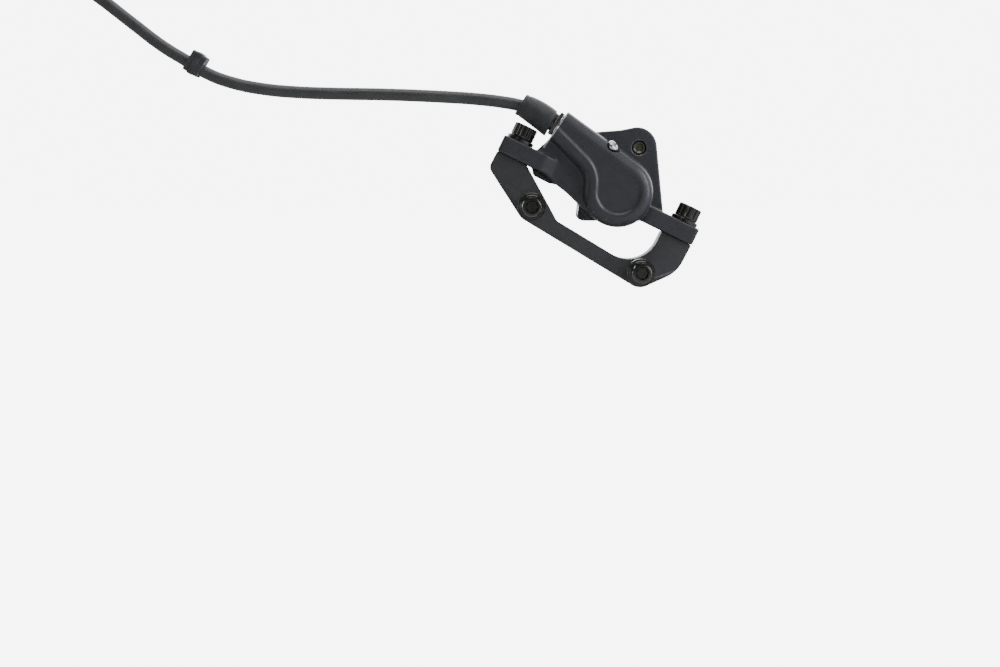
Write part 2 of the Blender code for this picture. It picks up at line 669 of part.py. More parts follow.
def make_lever_end(rubber, plated, brass, nut_mat):
    """Loose end of the hose beside its coil, with the fittings for the brake lever."""
    x, z = COIL_CENTRE
    rise = [Vector((x + r * math.cos(a), y, z + r * math.sin(a))) for a, r, y in
            ((math.radians(160), TAIL_R + 0.4, 14.9), (math.radians(170), TAIL_R + 0.1, 16.1),
             (math.pi, TAIL_R, TAIL_Y))]
    end = Vector((x - TAIL_R, TAIL_Y, z - TAIL_DROP))
    tube("hose_tail", rise + [end], HOSE_R, rubber)
    frame = axis_frame(end, (0, 0, 1))
    bore_r = HOSE_R + GAP
    boot = [(3.7, 26), (4.3, 24), (4.6, 14.2), (bore_r, 14.2), (bore_r, 26)]
    turned("lever_boot", boot, frame, rubber, 20, True)
    nut = [(4.4, 13.6), (4.4, 9.6), (3.8, 9.3), (3.8, 4.8), (bore_r, 4.8), (bore_r, 13.6)]
    turned("lever_nut", nut, frame, nut_mat, 20, True)
    olive = [(bore_r + 0.3, 4.2), (3.7, 3.0), (bore_r + 0.3, 1.6), (bore_r, 1.6), (bore_r, 4.2)]
    turned("lever_olive", olive, frame, brass, 20, True)
    insert = [(0, -GAP), (2.6, -GAP), (2.6, -1.1), (1.4, -1.2), (1.0, -2.6), (0, -2.6)]
    turned("lever_insert", insert, frame, plated, 16)


# ---------------------------------------------------------------- assembly

def collection(name):
    made = bpy.data.collections.new(name)
    bpy.context.scene.collection.children.link(made)
    return made


for old in list(bpy.data.objects):
    bpy.data.objects.remove(old, do_unlink=True)

PARTS = collection("disc_brake_caliper")
CUTTERS = collection("cutters")

cast_black = material("cast_black", (0.040, 0.042, 0.046), 0.42, 0.5)
bracket_black = material("bracket_black", (0.060, 0.060, 0.062), 0.5, 0.5)
bolt_black = material("bolt_black", (0.02, 0.02, 0.02), 0.3, 0.9)
plated_steel = material("plated_steel", (0.75, 0.75, 0.76), 0.2, 1.0)
olive_brass = material("olive_brass", (0.75, 0.55, 0.25), 0.3, 1.0)
boot_rubber = material("boot_rubber", (0.045, 0.047, 0.046), 0.75, 0.0)
hose_black = material("hose_black", (0.035, 0.036, 0.038), 0.4, 0.0)
seal_rubber = material("seal_rubber", (0.02, 0.02, 0.02), 0.6, 0.0)
piston_resin = material("piston_resin", (0.75, 0.73, 0.68), 0.4, 0.0)
backing_steel = material("backing_steel", (0.35, 0.35, 0.36), 0.45, 0.9)
lining = material("lining", (0.16, 0.13, 0.11), 0.9, 0.0)
spring_steel = material("spring_steel", (0.6, 0.6, 0.6), 0.3, 1.0)
strap_black = material("strap_black", (0.03, 0.03, 0.03), 0.9, 0.0)
clip_black = material("clip_black", (0.02, 0.02, 0.02), 0.5, 0.0)

make_bracket(bracket_black)
make_fasteners(bolt_black)
make_outer_housing(cast_black)
make_inner_housing(cast_black)
make_housing_parts(bolt_black, plated_steel, seal_rubber)
make_pistons(piston_resin, seal_rubber)
make_pads(backing_steel, lining)
make_pad_spring(spring_steel)
make_hose_ends(plated_steel, olive_brass, boot_rubber, bolt_black)
make_hose(hose_black)
make_hose_clip(clip_black)
make_coil(hose_black, strap_black)
make_lever_end(hose_black, plated_steel, olive_brass, bolt_black)

for part in PARTS.objects:
    part.data.shade_smooth()
    part.data.set_sharp_from_angle(angle=math.radians(35))
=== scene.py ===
"""Looks of a hydraulic disc brake caliper on its frame bracket, with its hose.

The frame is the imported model's: +X to the rear of the bicycle, +Y to the wheel, +Z up. Lengths
are in millimetres, and the helpers turn them into metres; camera, lights and floor are in metres.
"""
import math

import bmesh
import bpy
from mathutils import Matrix, Vector


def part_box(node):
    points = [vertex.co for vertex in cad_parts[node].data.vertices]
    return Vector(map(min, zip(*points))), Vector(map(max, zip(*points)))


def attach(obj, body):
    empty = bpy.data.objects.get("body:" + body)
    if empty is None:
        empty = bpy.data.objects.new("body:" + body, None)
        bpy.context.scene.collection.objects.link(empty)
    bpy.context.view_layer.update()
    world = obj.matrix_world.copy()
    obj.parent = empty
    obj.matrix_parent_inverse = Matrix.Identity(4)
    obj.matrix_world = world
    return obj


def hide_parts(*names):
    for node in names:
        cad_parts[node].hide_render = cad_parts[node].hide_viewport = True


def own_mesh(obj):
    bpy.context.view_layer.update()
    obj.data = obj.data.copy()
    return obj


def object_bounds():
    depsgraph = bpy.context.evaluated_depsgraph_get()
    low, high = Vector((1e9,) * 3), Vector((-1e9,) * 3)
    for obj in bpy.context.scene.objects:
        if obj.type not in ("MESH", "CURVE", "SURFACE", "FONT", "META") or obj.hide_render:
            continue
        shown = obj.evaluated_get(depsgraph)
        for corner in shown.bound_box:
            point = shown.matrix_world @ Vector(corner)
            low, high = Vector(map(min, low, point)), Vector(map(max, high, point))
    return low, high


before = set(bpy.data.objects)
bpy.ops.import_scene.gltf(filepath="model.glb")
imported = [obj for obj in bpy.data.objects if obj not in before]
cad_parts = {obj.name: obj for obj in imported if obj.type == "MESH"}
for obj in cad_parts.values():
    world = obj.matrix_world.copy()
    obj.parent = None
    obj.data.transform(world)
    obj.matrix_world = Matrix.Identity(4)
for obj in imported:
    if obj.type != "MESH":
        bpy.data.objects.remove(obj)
cad_low, cad_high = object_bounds()

MM = 0.001
GAP = 0.3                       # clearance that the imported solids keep
THREAD_DEPTH = 0.55             # share of the pitch
SHUT = 0.03                     # clearance of seats that the eye sees as closed
ARC_STEP = math.radians(5)      # widest turn between two points of an arc
VOXEL = 0.34                    # grid of the castings
SOFTEN = 10                     # smoothing passes over it

# bracket and bolts
BRACKET_T = 11.0
BOLT_R = 3.0
PM_SPACING = 74.0
PM_TILT = math.radians(25.84)
PM_CENTRE = (3.6, 16.5)         # x, z half way between the caliper bolts, on the posts' faces
PM_Y = 5.2
PM_SIDES = {"front": -1, "rear": 1}
PM_UP = (math.sin(PM_TILT), 0, math.cos(PM_TILT))
EAR_END = 43.6
EAR_T = 7.1
EAR_W = 13.0
ADJUST = 1.0                    # sideways play of the caliper, each way
WASHER_T = ADJUST + 2 * GAP     # height of the bolts' seats over the ears

# rotor slot, piston and slab; outlines are (x, z, corner radius)
ROTOR_Y = 16.35
ROTOR_AXIS = (19.7, -53.9)
ROTOR_CLEAR_R = 82.5
SLOT_HALF = 2.25
POCKET_FACE = 6.2               # depth of the pad pocket, from the rotor's plane
POCKET_TOP = 41.0
PISTON_ST = (7.35, 6.3)         # along and out from the line of the posts' faces
PISTON_R = 10.5
BORE_END = 17.1
BULGE_R = 14.2
BULGE_FILLET = 4.6
BULGE_TOP_TILT = math.radians(-10.0)
BULGE_LOW_TILT = math.radians(-19.2)
RIM_W = 5.6                     # rounded rim of the bulge, round its sunk face
FACE_DEPTH = 0.75               # of the sunk face
SEAL_R = 12.2
OUTER_FACE_Y = -3.7
INNER_FACE_Y = 35.2
SLAB_Y = 7.35
INNER_SLAB_Y = 25.6
HALF_BOLT_SEAT = 21.6
SLAB = [(-3.3, 7.2, 2.6), (32.4, 7.2, 2.0), (28.5, 45.2, 8.2),
        (20.6, 45.2, 5.0), (14.6, 44.0, 5.0), (1.5, 43.0, 2.0)]
LUG = (-6.0, 30.0)              # x, z, like the next three
TOP_BOLT = (11.2, 38.9)
PORT = (3.9, 35.4)
PAD_AXLE = (21.9, 36.8)
LUG_R = 5.2
PAD_AXLE_R = 2.0
BLEED_PLACE = (10.6, -0.7, 37.1)
BLEED_DIR = (0.66, -0.5, 0.56)

# hose: its free stretch as (x, z), then a coil of two flat layers and a tail
HOSE_R = 2.5
NECK_ST = (-25.8, 19.9)
NECK_Y = 4.0
NECK_BORE_R = 4.4
NECK_DIR = Vector((-0.822, 0.0, 0.569)).normalized()
HOSE_ROUTE = [(-17.0, 49.75), (-22.0, 52.3), (-26.9, 53.8), (-32.1, 54.8), (-43.9, 56.2),
              (-55.8, 57.0), (-79.6, 58.0), (-101.3, 58.4), (-115.5, 58.9), (-129.7, 60.2),
              (-141.8, 62.6), (-151.9, 66.3), (-160.0, 71.2), (-169.8, 77.2), (-182.0, 86.5),
              (-195.2, 96.7), (-210.0, 106.6), (-225.0, 113.4), (-241.0, 117.3), (-261.0, 118.9)]
COIL_CENTRE = (-282.0, 81.0)
COIL_OUTER = 38.0
COIL_INNER = 21.0
COIL_TURNS = 3.4                # in each layer
COIL_HOP = 0.2                  # turns from one layer to the next
LAYER = 5.1                     # from one layer's middle to the next one's
COIL_Y = NECK_Y + LAYER / 2
COIL_STEPS = 24                 # points in a turn
TAIL_STEPS = 6
TAIL_R = 35.5
TAIL_Y = 16.5
TAIL_DROP = 31.0

# camera, and strengths of the backdrop
LENS = 55.6
CAMERA_PLACE = (-0.0345, -0.62365, 0.0222)
CAMERA_PITCH = math.radians(5.53)
BACKDROP_SEEN = 7.0             # what the lens sees
BACKDROP_LIGHT = 4.0            # what the part gets from behind it
ROOM_LIGHT = 0.15               # what it gets from the front
LIT_PLACE = (0.0, 0.0, 0.02)
FLOOR_DROP = 0.09
FLOOR_SIZE = 6.0


# ---- places

def pm(s, t):
    """(x, z) of a point on the post mount line's own axes."""
    c, k = math.cos(PM_TILT), math.sin(PM_TILT)
    return PM_CENTRE[0] + s * c + t * k, PM_CENTRE[1] - s * k + t * c


def pm_frame(s=0.0, y=0.0, t=0.0):
    """Local x runs along the post mount line, local y is Y, local z points out of its face."""
    x, z = pm(s, t)
    return Matrix.Translation((x * MM, y * MM, z * MM)) @ Matrix.Rotation(PM_TILT, 4, 'Y')


def front_frame(y=0.0):
    """Local x, y become X, Z; local z points out of the front, at depth y."""
    return Matrix.Translation((0, y * MM, 0)) @ Matrix.Rotation(math.pi / 2, 4, 'X')


def post_frame(side, t=0.0):
    """Frame of a caliper bolt's axis, at a height over the post's face."""
    return pm_frame(side * PM_SPACING / 2, PM_Y, t)


def axis_frame(origin, direction):
    """Local z runs from the origin along the direction."""
    turn = Vector(direction).to_track_quat('Z', 'Y').to_matrix().to_4x4()
    return Matrix.Translation(Vector(origin) * MM) @ turn


def depth_frame(x, y, z, way=1):
    """Local z runs along Y, to the wheel or away from it."""
    return axis_frame((x, y, z), (0, way, 0))


def neck_point(out):
    """Point on the hose neck's axis, so far outside its end face."""
    x, z = pm(*NECK_ST)
    return Vector((x, NECK_Y, z)) + NECK_DIR * out


def bleed_frame():
    return axis_frame(BLEED_PLACE, BLEED_DIR)


def node_box(node):
    low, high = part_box(node)
    return low / MM, high / MM


# ---- outlines

def arc(centre, radius, start, end):
    count = max(2, math.ceil(abs(end - start) / ARC_STEP))
    angles = [start + (end - start) * i / count for i in range(count + 1)]
    return [(centre[0] + radius * math.cos(a), centre[1] + radius * math.sin(a)) for a in angles]


def rounded(corners):
    """Outline through corners (x, y, radius), each corner replaced by its arc."""
    points = []
    for i, (x, y, radius) in enumerate(corners):
        here = Vector((x, y))
        back = (Vector(corners[i - 1][:2]) - here).normalized()
        ahead = (Vector(corners[(i + 1) % len(corners)][:2]) - here).normalized()
        if not radius:
            points.append((x, y))
            continue
        half = back.angle(ahead) / 2
        centre = here + (back + ahead).normalized() * (radius / math.sin(half))
        start = here + back * (radius / math.tan(half)) - centre
        end = here + ahead * (radius / math.tan(half)) - centre
        turn = start.angle_signed(end)
        first = math.atan2(start.y, start.x)
        points += arc(centre, radius, first, first - turn)
    return points


def rim(radius, top, fillet, steps):
    """Rounded edge of a turned profile, from its flat top to its side."""
    angles = [math.pi / 2 * i / steps for i in range(steps + 1)]
    return [(radius - fillet + fillet * math.sin(a), top - fillet + fillet * math.cos(a))
            for a in angles]


def hexagon(across):
    radius = across / 2 / math.cos(math.pi / 6)
    return [(radius * math.cos(i * math.pi / 3), radius * math.sin(i * math.pi / 3))
            for i in range(6)]


def box_outline(half_x, half_y, radius):
    return rounded([(-half_x, -half_y, radius), (half_x, -half_y, radius),
                    (half_x, half_y, radius), (-half_x, half_y, radius)])


def drop_outline():
    """Piston bulge that runs into the hose neck, on the post mount's axes."""
    centre = Vector(PISTON_ST)
    blend_r, neck_end, over = 9.0, 25.8, 12.0
    low_start = Vector((-26.8, 13.4))
    along = Vector((math.cos(BULGE_LOW_TILT), math.sin(BULGE_LOW_TILT)))
    down = Vector((along.y, -along.x))
    base = low_start + down * blend_r - centre
    b = base.dot(along)
    reach = -b - math.sqrt(b * b - base.length_squared + (BULGE_R + blend_r) ** 2)
    blend = low_start + down * blend_r + along * reach
    meet = math.atan2(blend.y - centre.y, blend.x - centre.x)
    if meet > 0:
        meet -= 2 * math.pi
    first = math.pi / 2 + BULGE_TOP_TILT
    top = centre + Vector((math.cos(first), math.sin(first))) * BULGE_R
    left = top.x + neck_end + over
    points = [(top.x - left, top.y - left * math.tan(BULGE_TOP_TILT))]
    points += arc(centre, BULGE_R, first, meet)
    points += arc(blend, blend_r, meet + math.pi, math.pi / 2 + BULGE_LOW_TILT)[1:]
    end = low_start - along * over
    return [pm(x, y) for x, y in points + [(end.x, end.y)]]


def pocket_outline(grow=0.0, tab_top=POCKET_TOP):
    """Pad shape: a wide foot over the rotor band and a tab up to the pad axle."""
    left, right, low, top = 0.9 - grow, 26.0 + grow, 8.7 - grow, 29.0 + grow
    tab = 17.7 - grow
    return rounded([(left, low, 3.0), (right, low, 3.0), (right, tab_top, 1.5),
                    (tab, tab_top, 1.5), (tab, top, 1.5), (left, top, 4.0)])


# ---- mesh tools

def add(name, data, place=None):
    obj = bpy.data.objects.new(name, data)
    bpy.context.scene.collection.objects.link(obj)
    if place is not None:
        obj.matrix_world = place
    return obj


def bake(obj):
    """Turns a curve or a mesh with modifiers into one plain mesh in the row frame."""
    graph = bpy.context.evaluated_depsgraph_get()
    graph.update()
    mesh = bpy.data.meshes.new_from_object(obj.evaluated_get(graph), depsgraph=graph)
    mesh.transform(obj.matrix_world)
    name = obj.name
    bpy.data.objects.remove(obj)
    return add(name, mesh)


def weld(obj, distance=0.0005):
    """Closes the loose caps of a curve's mesh, faces out."""
    bm = bmesh.new()
    bm.from_mesh(obj.data)
    bmesh.ops.remove_doubles(bm, verts=bm.verts, dist=distance * MM)
    bmesh.ops.recalc_face_normals(bm, faces=bm.faces)
    bm.to_mesh(obj.data)
    bm.free()
    return obj


def prism(name, outline, low, high, place, fillet=0.0, steps=4, inset=0.0):
    """Flat outline between two heights of its frame, its rims rounded by the fillet."""
    curve = bpy.data.curves.new(name, 'CURVE')
    curve.dimensions = '2D'
    curve.fill_mode = 'BOTH'
    curve.extrude = ((high - low) / 2 - fillet) * MM
    curve.bevel_depth = fillet * MM
    curve.offset = -(fillet + inset) * MM
    curve.bevel_resolution = steps
    spline = curve.splines.new('POLY')
    spline.points.add(len(outline) - 1)
    for point, (x, y) in zip(spline.points, outline):
        point.co = (x * MM, y * MM, 0, 1)
    spline.use_cyclic_u = True
    shift = Matrix.Translation((0, 0, (low + high) / 2 * MM))
    return weld(bake(add(name, curve, place @ shift)))


def plate(name, outline, y_low, y_high, fillet=0.0, steps=4, inset=0.0):
    """Outline in X and Z between two depths."""
    return prism(name, outline, -y_high, -y_low, front_frame(), fillet, steps, inset)


def turned(name, profile, place, steps=64, closed=False):
    """Profile of (radius, height) points turned round the frame's z axis.

    It runs from the top of the axis down the outer side to the bottom; a closed
    profile is a ring's section, and returns up the inner side.
    """
    mesh = bpy.data.meshes.new(name)
    points = [(r * MM, 0, h * MM) for r, h in profile]
    edges = [(i, i + 1) for i in range(len(points) - 1)]
    if closed:
        edges.append((len(points) - 1, 0))
    mesh.from_pydata(points, edges, [])
    obj = add(name, mesh, place)
    screw = obj.modifiers.new("turn", 'SCREW')
    screw.steps = steps
    screw.render_steps = steps
    screw.use_merge_vertices = True
    screw.merge_threshold = 1e-6
    return weld(bake(obj), 0.0001)


def cylinder(start, end, radius, steps=48):
    length = (Vector(end) - Vector(start)).length
    place = axis_frame(start, Vector(end) - Vector(start))
    return turned("cut", [(0, length), (radius, length), (radius, 0), (0, 0)], place, steps)


def stepped_bore(x, z, stations, steps=64):
    """Cutter along Y; a station is its y, its radius and, on a cone, the radius at its end."""
    profile = [(0, stations[0][0])]
    for (low, *radii), (high, *_) in zip(stations, stations[1:]):
        profile += [(radii[0], low), (radii[-1], high)]
    profile.append((0, stations[-1][0]))
    return turned("cut", profile[::-1], depth_frame(x, 0, z), steps)


def tube(name, points, radius, sides):
    """Round bar along points in millimetres."""
    curve = bpy.data.curves.new(name, 'CURVE')
    curve.dimensions = '3D'
    curve.bevel_depth = MM
    curve.bevel_resolution = sides
    curve.use_fill_caps = True
    spline = curve.splines.new('POLY')
    spline.points.add(len(points) - 1)
    for point, place in zip(spline.points, points):
        point.co = (*(Vector(place) * MM), 1)
        point.radius = radius
    return weld(bake(add(name, curve)))


def skin(name, rows, place):
    """Closed surface through rings of equally many points, with a cap at each end."""
    bm = bmesh.new()
    rings = [[bm.verts.new(Vector(p) * MM) for p in row] for row in rows]
    count = len(rings[0])
    for above, below in zip(rings, rings[1:]):
        for i in range(count):
            j = (i + 1) % count
            bm.faces.new((above[i], below[i], below[j], above[j]))
    bm.faces.new(rings[0])
    bm.faces.new(rings[-1][::-1])
    bmesh.ops.recalc_face_normals(bm, faces=bm.faces)
    mesh = bpy.data.meshes.new(name)
    bm.to_mesh(mesh)
    bm.free()
    mesh.transform(place)
    return add(name, mesh)


def boolean(target, operation, *operands):
    for operand in operands:
        step = target.modifiers.new("step", 'BOOLEAN')
        step.operation = operation
        step.solver = 'MANIFOLD'
        step.object = operand
    done = bake(target)
    for operand in operands:
        bpy.data.objects.remove(operand)
    return done


def cut(target, *operands):
    return boolean(target, 'DIFFERENCE', *operands)


def join(target, *operands):
    return boolean(target, 'UNION', *operands)


def cast(name, shells):
    """One casting from overlapping shells: its corners and joints come out softly rounded."""
    bm = bmesh.new()
    for shell in shells:
        bm.from_mesh(shell.data)
        bpy.data.objects.remove(shell)
    mesh = bpy.data.meshes.new(name)
    bm.to_mesh(mesh)
    bm.free()
    body = add(name, mesh)
    remesh = body.modifiers.new("grid", 'REMESH')
    remesh.mode = 'VOXEL'
    remesh.voxel_size = VOXEL * MM
    smooth = body.modifiers.new("soften", 'SMOOTH')
    smooth.factor = 0.5
    smooth.iterations = SOFTEN
    return bake(body)


def done(obj, body, slot, *nodes, angle=32):
    """Finishes a piece: its slot with the look of it, its body, and what it stands for."""
    obj.data.materials.clear()
    obj.data.materials.append(LOOKS[slot])
    obj.data.shade_smooth()
    obj.data.set_sharp_from_angle(angle=math.radians(angle))
    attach(obj, body)
    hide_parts(*nodes)
    return obj


# ---- materials

def feed(tree, socket, value):
    """Links an input to another node's output, or sets its value."""
    if isinstance(value, bpy.types.NodeSocket):
        tree.links.new(value, socket)
    elif socket.type == 'RGBA':
        socket.default_value = (*value, 1)
    else:
        socket.default_value = value


def made(tree, kind, output, inputs=None, **settings):
    """An output of a new node with these inputs and settings."""
    node = tree.nodes.new(kind)
    for name, value in settings.items():
        setattr(node, name, value)
    for name, value in (inputs or {}).items():
        feed(tree, node.inputs[name], value)
    return node.outputs[output]


class Look:
    """A Principled material and the few nodes that its colour, roughness and relief need."""

    def __init__(self, name, colour, roughness, metallic=0.0, specular=0.5):
        self.material = bpy.data.materials.new(name)
        self.material.use_nodes = True
        self.tree = self.material.node_tree
        self.set("Base Color", colour)
        self.set("Roughness", roughness)
        self.set("Metallic", metallic)
        self.set("Specular IOR Level", specular)
        self.place = made(self.tree, 'ShaderNodeTexCoord', "Object")

    def set(self, socket, value):
        feed(self.tree, self.tree.nodes["Principled BSDF"].inputs[socket], value)

    def noise(self, size, detail=3.0):
        """Noise whose features are about so many millimetres wide."""
        return made(self.tree, 'ShaderNodeTexNoise', "Fac", {
            "Vector": self.place, "Scale": 1 / (size * MM), "Detail": detail})

    def spread(self, source, low, high, from_low=0.3, from_high=0.7):
        """A source's middle range, stretched over two other values."""
        return made(self.tree, 'ShaderNodeMapRange', "Result", {
            "Value": source, "From Min": from_low, "From Max": from_high,
            "To Min": low, "To Max": high})

    def blend(self, factor, first, second):
        """From a first to a second colour; each is a tuple or another node's output."""
        return made(self.tree, 'ShaderNodeMix', "Result", {
            "Factor": factor, "A": first, "B": second}, data_type='RGBA')

    def multiply(self, first, second):
        return made(self.tree, 'ShaderNodeMath', "Value", {0: first, 1: second},
                    operation='MULTIPLY')

    def edges(self, low, high):
        """0 on flats and hollows, 1 on outer edges."""
        source = made(self.tree, 'ShaderNodeNewGeometry', "Pointiness")
        return self.spread(source, 0.0, 1.0, low, high)

    def along(self, origin, direction, low, high, soft=0.05):
        """1 where the distance along a direction from a point lies between two values in mm."""
        shift = made(self.tree, 'ShaderNodeVectorMath', "Vector", {
            0: self.place, 1: Vector(origin) * MM}, operation='SUBTRACT')
        distance = made(self.tree, 'ShaderNodeVectorMath', "Value", {
            0: shift, 1: Vector(direction)}, operation='DOT_PRODUCT')
        above = self.spread(distance, 0.0, 1.0, (low - soft) * MM, (low + soft) * MM)
        below = self.spread(distance, 1.0, 0.0, (high - soft) * MM, (high + soft) * MM)
        return self.multiply(above, below)

    def clouds(self, size, detail, first, second):
        """Base colour that drifts between two colours, in patches of so many millimetres."""
        patches = self.spread(self.noise(size, detail), 0.0, 1.0)
        self.set("Base Color", self.blend(patches, first, second))

    def bump(self, source, depth):
        """Relief of so many millimetres."""
        self.set("Normal", made(self.tree, 'ShaderNodeBump', "Normal", {
            "Height": source, "Strength": 1.0, "Distance": depth * MM}))


def shade(colour, factor):
    return tuple(c * factor for c in colour)


def coated_metal(name, colour, edge, roughness, grain, relief, bare_neck=False):
    """Satin black coat on metal: fine grain, cloudy gloss, paler edges that are partly rubbed wear
    and partly painted highlight lines.

    The hose neck's end is machined after the coat, so its rim is bare metal.
    """
    look = Look(name, colour, roughness)
    base = look.blend(look.spread(look.noise(7.0, 4.0), 0.0, 1.0), colour, shade(colour, 1.18))
    # paler colour on outer edges: partly rubbed wear, partly painted highlight lines along the
    # edges
    wear_and_highlight = look.multiply(look.edges(0.53, 0.575), look.spread(look.noise(1.1), 0.1, 0.7))
    base = look.blend(wear_and_highlight, base, edge)
    if bare_neck:
        above_ear, past_neck = 9.2, 60.0
        rim = look.multiply(
            look.along(neck_point(0), NECK_DIR, -0.4, 0.3),
            look.along((PM_CENTRE[0], 0, PM_CENTRE[1]), PM_UP, above_ear, past_neck))
        base = look.blend(rim, base, (0.62, 0.62, 0.63))
        look.set("Metallic", rim)
    look.set("Base Color", base)
    look.set("Roughness", look.spread(look.noise(2.2, 5.0), roughness - 0.05, roughness + 0.06))
    look.bump(look.noise(grain, 4.0), relief)
    return look.material


def bare_metal(name, colour, roughness, pitch=0.12, relief=0.004):
    """Metal with fine machining marks and a little variation of its finish."""
    look = Look(name, colour, roughness, metallic=1.0)
    look.clouds(1.6, 3.0, colour, shade(colour, 0.72))
    look.set("Roughness", look.spread(look.noise(0.6), roughness - 0.05, roughness + 0.08))
    look.bump(look.noise(pitch, 2.0), relief)
    return look.material


def rubber(name, colour, roughness, grain=0.25, relief=0.012):
    """Moulded rubber: matte, with a dusty bloom and a fine skin."""
    look = Look(name, colour, roughness, specular=0.35)
    dust = look.spread(look.noise(3.5, 5.0), 0.0, 1.0, 0.4, 0.72)
    look.set("Base Color", look.blend(dust, colour, shade(colour, 1.5)))
    look.set("Roughness", look.spread(look.noise(1.2), roughness - 0.07, roughness + 0.06))
    look.bump(look.noise(grain), relief)
    look.set("Sheen Weight", 0.25)
    return look.material


def hose_jacket():
    """Extruded jacket: satin and a little uneven, with paler scuffs."""
    colour = (0.050, 0.050, 0.0505)
    look = Look("hose_jacket", colour, 0.36)
    look.clouds(6.0, 4.0, colour, (0.068, 0.068, 0.068))
    look.set("Roughness", look.spread(look.noise(1.5, 5.0), 0.30, 0.46))
    look.bump(look.noise(0.5, 2.0), 0.006)
    return look.material


def woven_strap():
    """Strap of plain weave: threads over and under each other."""
    thread_w = 0.9
    look = Look("strap_weave", (0.02, 0.02, 0.022), 0.8, specular=0.3)
    wave = {"Vector": look.place, "Scale": 0.32 / (thread_w * MM), "Distortion": 0.4}
    weave = look.multiply(*(made(look.tree, 'ShaderNodeTexWave', "Fac", wave,
                                 bands_direction=axis) for axis in ('X', 'DIAGONAL')))
    look.set("Base Color", look.blend(weave, (0.014, 0.014, 0.016), (0.05, 0.05, 0.054)))
    look.bump(weave, 0.12)
    look.set("Sheen Weight", 0.3)
    return look.material


def friction_compound():
    """Pad lining: pressed powder with pale and coppery flecks."""
    look = Look("friction_compound", (0.09, 0.075, 0.065), 0.85)
    flecks = look.spread(look.noise(0.35, 1.0), 0.0, 1.0, 0.62, 0.7)
    grain = look.blend(look.spread(look.noise(0.8, 5.0), 0.0, 1.0), (0.07, 0.058, 0.05),
                       (0.14, 0.12, 0.10))
    look.set("Base Color", look.blend(flecks, grain, (0.42, 0.25, 0.14)))
    look.bump(look.noise(0.4, 5.0), 0.06)
    return look.material


def ground_resin():
    """Piston of light phenolic resin."""
    look = Look("ground_resin", (0.55, 0.52, 0.45), 0.45)
    look.clouds(1.8, 5.0, (0.58, 0.55, 0.48), (0.44, 0.41, 0.35))
    look.bump(look.noise(0.2), 0.006)
    return look.material


LOOKS = {
    # the second colour of each coat paints its paler edges: partly rubbed wear, partly painted
    # highlight
    "cast_black": coated_metal("cast_coat", (0.042, 0.0415, 0.0465), (0.16, 0.165, 0.18),
                               0.32, 0.34, 0.004, True),
    "bracket_black": coated_metal("bracket_anodised", (0.046, 0.0445, 0.0465),
                                  (0.20, 0.20, 0.20), 0.42, 0.16, 0.005),
    "bolt_black": bare_metal("black_oxide", (0.105, 0.103, 0.097), 0.17),
    "plated_steel": bare_metal("bright_plate", (0.80, 0.80, 0.82), 0.14),
    "axle_steel": bare_metal("olive_zinc", (0.19, 0.187, 0.14), 0.27),
    "brass": bare_metal("turned_brass", (0.75, 0.53, 0.22), 0.26),
    "backing_steel": bare_metal("stamped_steel", (0.30, 0.30, 0.31), 0.42, 0.3, 0.01),
    "spring_steel": bare_metal("spring_sheet", (0.55, 0.55, 0.55), 0.28, 0.25, 0.005),
    "seal_rubber": rubber("seal_skin", (0.012, 0.012, 0.012), 0.5, 0.2, 0.004),
    "boot_rubber": rubber("boot_skin", (0.031, 0.033, 0.0325), 0.50),
    "clip_black": rubber("clip_skin", (0.042, 0.042, 0.045), 0.42, 0.2, 0.006),
    "hose_black": hose_jacket(),
    "strap_black": woven_strap(),
    "pad_lining": friction_compound(),
    "piston_resin": ground_resin(),
}


# ---- camera

def make_camera():
    """Level with the caliper and ahead of it, looking slightly down."""
    data = bpy.data.cameras.new("camera")
    data.sensor_width = 36.0
    data.lens = LENS
    data.clip_start = 0.01
    camera = add("camera", data)
    camera.matrix_world = (Matrix.Translation(CAMERA_PLACE)
                           @ Matrix.Rotation(math.pi / 2 - CAMERA_PITCH, 4, 'X'))
    bpy.context.scene.camera = camera


# ---- hose

def ease(share):
    """0 to 1, level at both ends."""
    return (3 - 2 * share) * share * share


def coil_point(radius, depth, angle):
    x, z = COIL_CENTRE
    return Vector((x + radius * math.cos(angle), depth, z + radius * math.sin(angle)))


def coil_points():
    """Two flat spirals, inwards in front and outwards behind, then the way back to the tail."""
    turns = 2 * COIL_TURNS + COIL_HOP
    pitch = (COIL_OUTER - COIL_INNER) / COIL_TURNS
    points = []
    for i in range(1, round(turns * COIL_STEPS) + 1):
        turn = i / COIL_STEPS
        hop = min(max((turn - COIL_TURNS) / COIL_HOP, 0), 1)
        after = max(turn - COIL_TURNS - COIL_HOP, 0)
        radius = COIL_OUTER - pitch * min(turn, COIL_TURNS) + pitch * after
        depth = NECK_Y + LAYER * ease(hop)
        points.append(coil_point(radius, depth, math.pi / 2 + 2 * math.pi * turn))
    start = points[-1].y
    for i in range(1, TAIL_STEPS + 1):
        share = i / TAIL_STEPS
        radius = COIL_OUTER + (TAIL_R - COIL_OUTER) * share
        depth = start + (TAIL_Y - start) * ease(share)
        points.append(coil_point(radius, depth, math.pi / 2 * (1 + share)))
    return points


